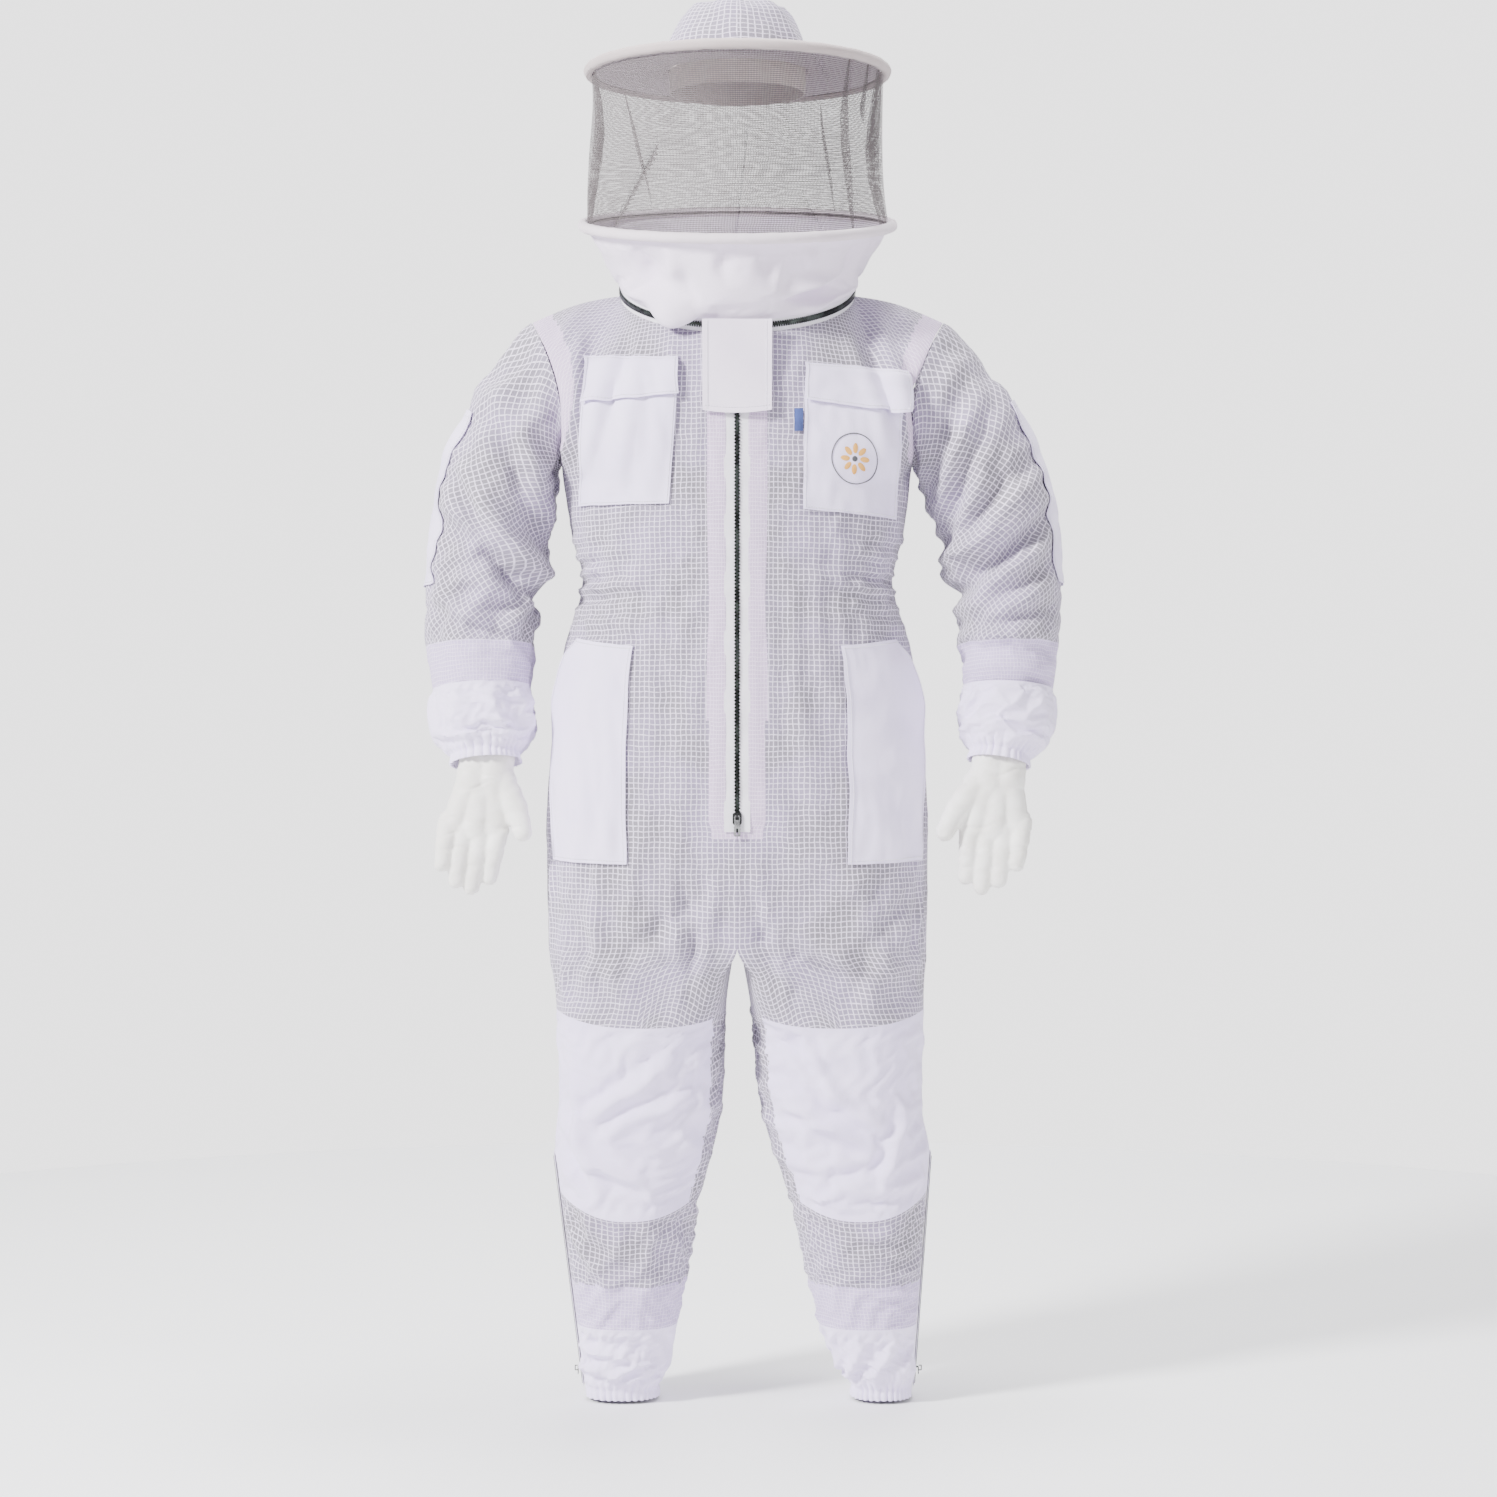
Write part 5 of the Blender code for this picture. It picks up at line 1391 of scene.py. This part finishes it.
def make_hip_pockets(tree):
    """Patch pockets with a slanted, slightly open hand edge."""
    bottom, top, slant = 0.660, 0.918, 0.810
    for side, word in SIDES:
        made = []
        for v in spans(0, 1, 52):
            z = bottom + (top - bottom) * v
            row = []
            for u in spans(0, 1, 34):
                inner = 0.38 + 0.03 * v
                lean = max(0.0, (z - slant) / (top - slant))
                outer = 0.80 + 0.10 * smooth((z - bottom) / 0.14) - 0.14 * lean**1.4
                share = (z - CROTCH_Z) / (middle_edge(1, True).z - CROTCH_Z)
                row.append(tree.find_nearest(torso_point(side, inner + (outer - inner) * u, share))[0])
            made.append(row)
        sheet = Sheet(made, (side * 0.1, 0.05, 0.8)).soften(5, held=False)
        sheet.measure()
        u, v = unit_grid(34, 52)
        gape = 0.0075 * ease((u - 0.72) / 0.28) * ease((v - 0.52) / 0.2) * ease((1.0 - v) / 0.10)
        sheet.lift(0.0030 + 0.0018 * np.sin(np.pi * u) * np.sin(np.pi * v) + gape)
        hem(sheet, ALL_ROUND, width=0.007, height=0.0005, groove=0.0005)
        folds = crumple(sheet, 0.075, 0.0014, 101 + side, (1.0, 2.0))
        sheet.lift(folds * edge_fade(sheet, 0.01, 0.01, 0.01, 0.01))
        item = patch(f"hip_pocket_{word}_cloth", sheet, ALL_ROUND, 0.0040)
        joined(item, [f"hip_pocket_{word}"], "suit")


def make_label(tree):
    """The folded side label, which bulges out a little from the pocket's inner edge."""
    left, wide = 0.0680, 0.0105
    rows = []
    for z in spans(1.177, 1.204, 10):
        base = on_front(tree, 0.0735, z).y - 0.0030
        rows.append([(x, base - 0.0012 * math.sin((x - left) / wide * math.pi), z)
                     for x in spans(left, left + wide, 8)])
    sheet = Sheet(rows, (0.07, 0, 1.19))
    item = cloth("side_label_cloth", sheet, LABEL, thickness=0.0006)
    joined(item, ["side_label"], "suit")


# ---------------------------------------------------------------- main zip
def make_main_zip():
    """Both halves with their teeth, and the upper and lower slider, each with its tab."""
    for side, word in SIDES:
        rows = [[(side * x, FRONT_Y - 0.0004 - 0.0004 * math.sin(z * 90), z)
                 for x in spans(0.0026, TAPE_EDGE + 0.0016, 6)] for z in spans(ZIP_BOTTOM, ZIP_TOP, 120)]
        tape = cloth(f"main_zip_tape_{word}", Sheet(rows, (0, 0, 1.0)), TAPE, thickness=TAPE_CLOTH)
        blocks = []
        pitch = 0.0042
        for k in range(int((ZIP_TOP - ZIP_BOTTOM) / pitch)):
            z = ZIP_BOTTOM + pitch * (k + (0.75 if side == LEFT else 0.25))
            blocks.append(placed((side * 0.0008, FRONT_Y - 0.0004, z), (0.0042, 0.0034, 0.0022)))
            blocks.append(placed((side * 0.0032, FRONT_Y - 0.0002, z), (0.0014, 0.0040, 0.0015)))
        teeth = zip_teeth(f"main_zip_teeth_{word}", blocks, "suit")
        joined(tape, [f"zip_half_{word}"], "suit")
    for word, z, way, length, tab_body in (("upper", UPPER_SLIDER_Z, 1, 0.016, "zip_upper"),
                                           ("lower", LOWER_SLIDER_Z, -1, 0.025, "pull_lower")):
        slider(f"zip_slider_{word}", f"zip_{word}", (0, FRONT_Y, z), (1, 0, 0), (0, -1, 0),
               (0, 0, way), 1.25, 0.003 * way)
        head = (0, FRONT_Y - PULL_PIVOT_OUT - 0.0005, z + 0.003 + 0.0010)
        pull = pull_tab(f"zip_pull_{word}_tab", head, (0, 0, -1), (0, -1, 0), length)
        joined(pull, [f"zip_pull_{word}"], tab_body)


# ---------------------------------------------------------------- sleeves
ARM_CREASES = {  # start (x, z), end (x, z), width, height
    RIGHT: (((-0.315, 1.115), (-0.245, 1.000), 0.012, 0.0110),
            ((-0.335, 1.090), (-0.275, 1.030), 0.010, 0.0060),
            ((-0.300, 1.235), (-0.235, 1.120), 0.013, 0.0060),
            ((-0.262, 1.190), (-0.228, 1.060), 0.012, 0.0070),
            ((-0.345, 1.010), (-0.265, 0.985), 0.009, 0.0055),
            ((-0.370, 0.985), (-0.300, 0.955), 0.009, 0.0055),
            ((-0.360, 0.965), (-0.260, 0.945), 0.008, 0.0045),
            ((-0.335, 1.145), (-0.290, 1.060), 0.010, 0.0045),
            ((-0.325, 1.260), (-0.300, 1.150), 0.014, 0.0035)),
    LEFT: (((0.300, 1.160), (0.262, 1.030), 0.012, 0.0080), ((0.340, 1.120), (0.280, 1.040), 0.011, 0.0070),
           ((0.300, 1.235), (0.245, 1.120), 0.013, 0.0060), ((0.275, 1.200), (0.240, 1.070), 0.011, 0.0060),
           ((0.375, 1.050), (0.285, 0.985), 0.010, 0.0065), ((0.390, 1.010), (0.300, 0.955), 0.009, 0.0055),
           ((0.385, 0.960), (0.290, 0.930), 0.008, 0.0045), ((0.330, 1.260), (0.310, 1.150), 0.014, 0.0035)),
}


def arm_sheet(side, low, high, rows, columns=112):
    turns = around(columns)
    made = [arm_ring(side, s, turns) for s in spans(low, high, rows)]
    return Sheet(made, [arm_place(side, s)[0] for s in spans(low, high, rows)], wrap=True)


def arm_folds(sheet, side, share):
    """The sleeve's folds, the same at the seam between its two lengths."""
    total = crumple(sheet, 0.085, 0.0062, 120 + side, (1.8, 1.0)) * ease(share / 0.12)
    for start, end, width, height in ARM_CREASES[side]:
        total += CREASE_GAIN * crease(sheet, start, end, width, height)
    turn = np.linspace(0, 2 * math.pi, sheet.P.shape[1])[None, :]
    line = 0.415 - 0.085 * np.cos(turn)
    over, under = hump(share, line - 0.025, 0.050), hump(share, line + 0.040, 0.030)
    facing_in = ease(np.sin(turn) - 0.7 * np.cos(turn) + 0.5)
    return total + (0.012 * over - 0.012 * under) * facing_in


def make_sleeves():
    """Each sleeve is folded as one tube and cut at the upper arm, so its two lengths meet."""
    for side, word in SIDES:
        rows = 84
        whole = arm_sheet(side, 0.0, BAND_END, rows)
        share = np.array(spans(0, BAND_END, rows))[:, None] * np.ones_like(whole.U)
        whole.lift(arm_folds(whole, side, share))
        hold = 1 - ease(share / 0.05) * ease((BAND_END - share) / 0.10)
        settle(whole, np.maximum(hold, 0.10), grow=0.045, frames=14, gravity=0.35, cap=0.014)
        whole.soften(2)
        split = round(rows * UPPER_END / BAND_END)
        hole, cap = arm_place(side, 0.0)[0], arm_place(side, CAP_END)[0]
        item = cloth(f"sleeve_upper_{word}", whole.rows(0, split + 1), SLEEVE_MESH[side])
        joined(item, [f"sleeve_cap_{word}", f"upper_sleeve_{word}"],
               blend=("suit", f"upper_arm_{word}", hole, cap))
        zone = share[split:-1, :-1] > BAND_START
        a, b = arm_place(side, UPPER_END + 0.01)[0], arm_place(side, ELBOW_END)[0]
        item = cloth(f"sleeve_lower_{word}", whole.rows(split, rows + 1), [SLEEVE_MESH[side], LINED_MESH],
                     zone=zone)
        joined(item, [f"elbow_sleeve_{word}", f"lower_sleeve_{word}"],
               blend=(f"upper_arm_{word}", f"forearm_{word}", a, b))
        make_elbow_patch(side, word, whole, rows, a, b)
        make_wrist_cuff(side, word)


def make_elbow_patch(side, word, whole, rows, a, b):
    """A cotton strip on the outer back of the elbow, lying on the sleeve's own folds."""
    low, high = round(rows * 0.165 / BAND_END), round(rows * 0.53 / BAND_END)
    columns = whole.P.shape[1] - 1
    first, last = -columns // 4 + 1, round(columns * 0.085)
    order = [i % columns for i in range(first, last + 1)]
    lifted = whole.P[:, :-1] + whole.normals()[:, :-1] * 0.0016
    sheet = Sheet(lifted[low:high + 1][:, order], whole.centre[low:high + 1, 0]).soften(3, held=False)
    sheet.lift(0.0008)
    hem(sheet, ALL_ROUND, width=0.006, height=0.0004, groove=0.0005)
    item = patch(f"elbow_patch_{word}_cloth", sheet, ALL_ROUND, 0.0035)
    joined(item, [f"elbow_patch_{word}"],
           blend=(f"upper_arm_{word}", f"forearm_{word}", a, b))


def make_wrist_cuff(side, word):
    """The cotton cuff: bloused above its elastic, with a frilled hem below it."""
    rows = 46
    sheet = arm_sheet(side, BAND_END, 1.0, rows, 168)
    v = np.linspace(0, 1, rows + 1)[:, None] * np.ones_like(sheet.U)
    blouse = 0.010 * np.sin(np.pi * np.clip(v / 0.86, 0, 1)) ** 0.8 * ease(v / 0.1)
    elastic = -0.0035 * hump(v, 0.90, 0.05)
    frill = gathers(sheet, 30, 0.0036, 140 + side) * ease((v - 0.62) / 0.30)
    soft = crumple(sheet, 0.060, 0.0048, 150 + side, (1.6, 1.0)) * ease(v / 0.15) * ease((0.95 - v) / 0.2)
    sheet.lift(blouse + elastic + frill + soft)
    hold = 1 - ease(v / 0.06) * ease((0.86 - v) / 0.10)
    settle(sheet, np.maximum(hold, 0.05), grow=0.06, frames=12, gravity=0.5, cap=0.010)
    item = cloth(f"wrist_cuff_{word}_cloth", sheet, COTTON_WHITE, thickness=COTTON)
    joined(item, [f"wrist_cuff_{word}"], f"forearm_{word}")


# ---------------------------------------------------------------- gloves
PALM = (  # cuff, palm and thumb: ends (towards the thumb, forward, down) and their radii
    ((-0.008, -0.012, -0.040), (-0.010, 0.000, 0.02), 0.0240, 0.0240),
    ((0.008, -0.012, -0.040), (0.010, 0.000, 0.02), 0.0240, 0.0250),
    ((-0.014, 0.0, 0.03), (-0.027, 0.006, 0.080), 0.0200, 0.0165),
    ((0.0, 0.0, 0.03), (0.0, 0.008, 0.080), 0.0220, 0.0180),
    ((0.014, 0.0, 0.03), (0.024, 0.006, 0.080), 0.0220, 0.0170),
    ((0.022, 0.002, 0.020), (0.046, 0.012, 0.055), 0.0180, 0.0150),
    ((0.046, 0.012, 0.055), (0.059, 0.022, 0.082), 0.0145, 0.0120),
)
FINGERS = (0.121, 0.141, 0.149, 0.137)  # how far down each reaches, from the little finger on
WRINKLES = (  # how far down, width, depth, slope
    (0.012, 0.0022, 0.0012, 0.25), (0.024, 0.0018, 0.0008, -0.3), (0.072, 0.0020, 0.0009, 0.15),
    (0.080, 0.0016, 0.0007, -0.1), (0.101, 0.0016, 0.0007, 0.0), (0.108, 0.0014, 0.0006, 0.1),
    (0.124, 0.0014, 0.0006, 0.0),
)


def capsule(work, a, b, ra, rb):
    """A rod with round ends."""
    direction = b - a
    turn = direction.to_track_quat("Z", "Y").to_matrix().to_4x4()
    bmesh.ops.create_cone(work, cap_ends=True, segments=24, radius1=ra, radius2=rb,
                          depth=direction.length, matrix=Matrix.Translation((a + b) / 2) @ turn)
    for place, radius in ((a, ra), (b, rb)):
        bmesh.ops.create_uvsphere(work, u_segments=24, v_segments=16, radius=radius,
                                  matrix=Matrix.Translation(place) @ turn)


def hand_parts(at):
    """The palm's, thumb's and fingers' rods: at places a point by its distances from the wrist."""
    parts = [(at(*a), at(*b), ra, rb) for a, b, ra, rb in PALM]
    for i, length in enumerate(FINGERS):
        x = -0.0340 + 0.0212 * i
        knuckle, tip = at(x, 0.006, 0.070), at(x * 0.92, 0.020 - 0.003 * i, length)
        bend = knuckle.lerp(tip, 0.5) + Vector((0, -0.006, 0))
        parts.append((knuckle, bend, 0.0132, 0.0120))
        parts.append((bend, tip, 0.0120, 0.0102))
    return parts


def one_skin(parts):
    """One closed mesh round all the rods."""
    work = bmesh.new()
    for a, b, ra, rb in parts:
        capsule(work, a, b, ra, rb)
    mesh = bpy.data.meshes.new("hand")
    work.to_mesh(mesh)
    work.free()
    raw = shown("hand", mesh)
    remesh = raw.modifiers.new("one_skin", "REMESH")
    remesh.mode = "VOXEL"
    remesh.voxel_size = 0.0019
    even = raw.modifiers.new("even", "SMOOTH")
    even.factor, even.iterations = 0.6, 5
    done = bpy.data.meshes.new_from_object(raw.evaluated_get(bpy.context.evaluated_depsgraph_get()))
    bpy.data.objects.remove(raw)
    return done


def make_gloves():
    """Soft leather gloves, backs to the front and thumbs towards the body."""
    for side, word in SIDES:
        wrist = Vector(ARM_LINE[side][-1])
        lean = 0.010 if side == LEFT else -0.016

        def at(across, forward, down):
            return Vector((side * (wrist.x - across - lean * down / 0.1),
                           wrist.y - forward - 0.012, wrist.z - down))

        skin = one_skin(hand_parts(at))
        crease_leather(skin, side, at)
        item = shown(f"glove_{word}_leather", skin)
        skin.materials.clear()
        skin.materials.append(LEATHER)
        skin.shade_smooth()
        joined(item, [f"glove_{word}"], f"hand_{word}")


def crease_leather(mesh, side, at):
    """Wrinkles over the knuckles, the thumb's root and the wrist."""
    count = len(mesh.vertices)
    co, no = np.zeros(count * 3), np.zeros(count * 3)
    mesh.vertices.foreach_get("co", co)
    mesh.vertices.foreach_get("normal", no)
    co, no = co.reshape(-1, 3), no.reshape(-1, 3)
    wrist = at(0, 0, 0)
    down, across = wrist.z - co[:, 2], (co[:, 0] - wrist.x) * side
    amount = np.zeros(count)
    for place, width, depth, slope in WRINKLES:
        line = down - place + slope * across + 0.0016 * np.sin(across * 160 + place * 900)
        uneven = 0.6 + 0.4 * np.sin(across * 90 + place * 50)
        amount -= 1.6 * depth * hump(line, 0, width) * uneven
    amount += 0.0005 * np.sin(co[:, 0] * 210 + 2 * np.sin(co[:, 2] * 130)) * np.sin(co[:, 2] * 170)
    co += no * amount[:, None]
    mesh.vertices.foreach_set("co", co.ravel())
    mesh.update()


# ---------------------------------------------------------------- legs
KNEE_STRIP = 0.017  # the mesh strip on the knee panel's inner edge, seen from the front
KNEE_CREASES = {  # start (x, z), end (x, z), width, height
    RIGHT: (((-0.075, 0.425), (-0.185, 0.350), 0.010, 0.0045),
            ((-0.045, 0.385), (-0.160, 0.335), 0.009, 0.0040),
            ((-0.205, 0.345), (-0.165, 0.260), 0.010, 0.0050),
            ((-0.180, 0.300), (-0.110, 0.275), 0.009, 0.0035),
            ((-0.200, 0.400), (-0.190, 0.320), 0.008, 0.0030)),
    LEFT: (((0.070, 0.410), (0.180, 0.340), 0.010, 0.0045), ((0.050, 0.370), (0.170, 0.315), 0.009, 0.0040),
           ((0.205, 0.360), (0.175, 0.270), 0.010, 0.0040), ((0.190, 0.290), (0.110, 0.265), 0.009, 0.0035),
           ((0.075, 0.455), (0.120, 0.380), 0.009, 0.0030)),
}


def leg_sheet(side, low, high, rows, turns, wrap=False):
    """Leg cloth between two heights, each a function of the turn."""
    made = [[leg_surface(side, turn, low(turn) + (high(turn) - low(turn)) * s) for turn in turns]
            for s in spans(0, 1, rows)]
    centres = [leg_core(side, sum(p.z for p in row) / len(row)) for row in made]
    return Sheet(made, centres, wrap)


def round_leg(columns):
    """Turns once round the leg, from its zip on the outer side."""
    return spans(QUARTER, 5 * QUARTER, columns)


def hem_line(turn):
    return 0.0005


def band_line(turn):
    return HEM_BAND_BOTTOM


def shin_top(turn):
    return knee_bottom(turn) - 0.0004


def make_knees():
    """The cotton knee panel in front and the mesh behind it, each spanning the knee."""
    for side, word in SIDES:
        x = side * 0.128
        blend = ("suit", f"shin_{word}", (x, 0, 0.455), (x, 0, 0.262))
        for back in (False, True):
            first = QUARTER if back else -QUARTER
            sheet = leg_sheet(side, knee_bottom, knee_top, 54, spans(first, first + math.pi, 72))
            fade = edge_fade(sheet, 0.01, 0.01, 0.012, 0.012)
            from_zip = sheet.U if back else sheet.U[:, -1:] - sheet.U
            fade *= ease((from_zip - 0.007) / 0.018)
            folds = crumple(sheet, 0.090, 0.0040, 160 + side + back, (1.9, 1.0)) * fade
            if back:
                folds += crumple(sheet, 0.055, 0.0030, 170 + side, (2.4, 1.0)) * fade
            for start, end, width, height in () if back else KNEE_CREASES[side]:
                folds += CREASE_GAIN * crease(sheet, start, end, width, height) * fade
            sheet.lift(folds)
            settle(sheet, np.maximum(1 - fade, 0.12), grow=0.035, frames=12, gravity=0.4, cap=0.010)
            if back:
                item = cloth(f"knee_back_{word}_cloth", sheet, WHITE_MESH)
                slot, node, under = "mesh_fabric", f"knee_back_{word}", "suit_back_left"
            else:
                inner = np.abs(sheet.P[..., 0])
                strip = (inner - inner.min(1, keepdims=True) < KNEE_STRIP)[:-1, 1:]
                item = cloth(f"knee_panel_{word}_cloth", sheet, [COTTON_KNEE, WHITE_MESH], COTTON, zone=strip)
                slot, node, under = "white_cotton", f"knee_panel_{word}", f"suit_front_{word}"
            joined(item, [node], blend=blend)


def make_shins():
    """The mesh below the knee, whose lowest band is lined, and the cuff below it."""
    for side, word in SIDES:
        sheet = leg_sheet(side, band_line, shin_top, 36, round_leg(132), wrap=True)
        fade = edge_fade(sheet, 0, 0, 0.006, 0.012)
        clear = ease((sheet.to_side() - 0.010) / 0.020)
        sheet.lift(crumple(sheet, 0.085, 0.0050, 180 + side, (1.3, 1.0)) * fade * clear)
        settle(sheet, np.maximum(1 - fade * clear, 0.15), grow=0.03, frames=10, gravity=0.3, cap=0.008)
        zone = (sheet.P[:-1, :-1, 2] + sheet.P[1:, :-1, 2]) / 2 < HEM_BAND_TOP
        item = cloth(f"shin_{word}_cloth", sheet, [WHITE_MESH, LINED_MESH], zone=zone)
        joined(item, [f"shin_{word}"], f"shin_{word}")
        make_ankle_cuff(side, word)


def make_ankle_cuff(side, word):
    """The cotton cuff: bloused above its elastic, with a frilled hem, and flat along the zip."""
    rows = 40
    sheet = leg_sheet(side, hem_line, band_line, rows, round_leg(168), wrap=True)
    v = np.linspace(0, 1, rows + 1)[:, None] * np.ones_like(sheet.U)
    clear = ease((sheet.to_side() - 0.009) / 0.015)
    frill = gathers(sheet, 34, 0.0038, 190 + side) * ease((0.34 - v) / 0.25)
    elastic = -0.0030 * hump(v, 0.13, 0.06)
    soft = crumple(sheet, 0.055, 0.0050, 200 + side, (1.3, 1.0))
    soft *= ease((v - 0.10) / 0.2) * ease((1 - v) / 0.15)
    bulge = 0.005 * hump(v, 0.45, 0.2)
    sheet.lift((frill + elastic + soft + bulge) * clear)
    hold = 1 - ease((v - 0.16) / 0.10) * ease((1 - v) / 0.08) * clear
    settle(sheet, np.maximum(hold, 0.05), grow=0.05, frames=12, gravity=0.5, cap=0.008)
    item = cloth(f"ankle_cuff_{word}_cloth", sheet, COTTON_WHITE, thickness=COTTON)
    joined(item, [f"ankle_cuff_{word}"], f"shin_{word}")


def make_leg_zips():
    """Each ankle zip runs up the shin's outer side, with one slider near the hem."""
    pitch = 0.0030
    for side, word in SIDES:
        axes = ((0, 1, 0), (side, 0, 0), (0, 0, 1))
        rows = [[leg_zip_line(side, z) + Vector((side * 0.0022, y, 0)) for y in spans(-0.010, 0.010, 8)]
                for z in spans(LEG_ZIP_BOTTOM, LEG_ZIP_TOP, 50)]
        tape = cloth(f"leg_zip_{word}_tape", Sheet(rows, (0, 0, 0.15)), TAPE, thickness=TAPE_CLOTH)
        blocks = []
        for k in range(int((LEG_ZIP_TOP - LEG_ZIP_BOTTOM - 0.006) / pitch)):
            z = LEG_ZIP_BOTTOM + 0.003 + pitch * k
            for hand, offset in ((-1, 0.0), (1, pitch / 2)):
                place = leg_zip_line(side, z + offset) + Vector((side * 0.0027, hand * 0.0010, 0))
                blocks.append(placed(place, (0.0030, 0.0018, 0.0016), axes))
        teeth = zip_teeth(f"leg_zip_{word}_teeth", blocks, f"shin_{word}")
        joined(tape, [f"leg_zip_{word}"], f"shin_{word}")
        place = leg_zip_line(side, 0.030) + Vector((side * 0.0040, 0, 0))
        slider(f"leg_slider_{word}", f"leg_slide_{word}", place, *axes, 0.8)


# ---------------------------------------------------------------- stage, light and camera
LIGHTS = (  # name, place, aim, size, energy
    ("key", (-3.4, -2.6, 3.3), (0, 0, 0.9), 0.8, 700),
    ("fill", (3.4, -2.0, 1.4), (0, 0, 0.8), 1.2, 60),
    ("top", (0.3, 0.2, 4.2), (0, 0, 1.0), 0.9, 150),
    ("behind", (0.5, 3.6, 2.2), (0, 0, 0.9), 2.4, 110),
)
FLOOR_R = 2.3
WORLD_LIGHT = 0.95
SEEN_BACKGROUND = 2.7  # how bright the studio's paper looks; it doesn't light the suit


def make_stage():
    """A round pale floor and a studio background that is brighter to the eye than to the suit."""
    floor = Nodes("pale_floor")
    place = floor.add("TexCoord").outputs["Object"]
    tone = floor.mix(floor.noise(3, 3, place), (0.86, 0.86, 0.87), (0.90, 0.90, 0.91))
    look = floor.finish(tone, floor.noise(90, 3, place), 0.05, 0.002, 0.75, sheen=0.0)
    mesh = bpy.data.meshes.new("floor")
    rim = [(FLOOR_R * math.sin(t), FLOOR_R * math.cos(t), -0.004) for t in around(120)[:-1]]
    mesh.from_pydata(rim, [], [tuple(reversed(range(len(rim))))])
    mesh.materials.append(look)
    shown("floor", mesh)
    world = bpy.data.worlds.new("studio")
    bpy.context.scene.world = world
    world.use_nodes = True
    nodes, links = world.node_tree.nodes, world.node_tree.links
    background, seen = nodes["Background"], nodes.new("ShaderNodeBackground")
    for node, colour, strength in ((background, (0.97, 0.97, 1.0, 1), WORLD_LIGHT),
                                   (seen, (1.0, 0.99, 1.0, 1), SEEN_BACKGROUND)):
        node.inputs["Color"].default_value = colour
        node.inputs["Strength"].default_value = strength
    paths, both = nodes.new("ShaderNodeLightPath"), nodes.new("ShaderNodeMixShader")
    links.new(paths.outputs["Is Camera Ray"], both.inputs[0])
    links.new(background.outputs[0], both.inputs[1])
    links.new(seen.outputs[0], both.inputs[2])
    links.new(both.outputs[0], nodes["World Output"].inputs["Surface"])


def make_light(name, place, aim, size, energy):
    data = bpy.data.lights.new(name, "AREA")
    data.shape, data.size, data.energy = "SQUARE", size, energy
    item = shown(name, data)
    item.location = place
    item.rotation_euler = (Vector(aim) - Vector(place)).to_track_quat("-Z", "Y").to_euler()


def make_camera():
    """As far away and as high as the photographer stood; the shift frames the suit."""
    data = bpy.data.cameras.new("camera")
    distance, frame_width = 4.0, 1.841
    data.lens = data.sensor_width * distance / frame_width
    eye, middle = 0.87, 0.797
    data.shift_y = (middle - eye) / frame_width
    item = shown("camera", data)
    item.location = (0.0135, -distance, eye)
    item.rotation_euler = (QUARTER, 0, 0)
    bpy.context.scene.camera = item


# ---------------------------------------------------------------- everything in order
casing("upper_hoop_tape", upper_hoop_point, CASING, "hat", "upper_hoop_casing", 1)
casing("lower_hoop_tape", lower_hoop_point, CASING_LOW, "hood", "lower_hoop_casing", 2)
for wire in ("upper_hoop_wire", "lower_hoop_wire"):
    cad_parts[wire].material_slots[0].material = STEEL
make_hat()
make_veil()
make_skirt()
make_hood_zip()
make_throat_flap()
front_sheets = make_fronts()
front_tree = surface_tree(front_sheets.values())
make_back()
make_main_zip()
make_chest_pockets(front_tree)
make_hip_pockets(front_tree)
make_label(front_tree)
make_sleeves()
make_gloves()
make_knees()
make_shins()
make_leg_zips()
make_stage()
for lamp in LIGHTS:
    make_light(*lamp)
make_camera()
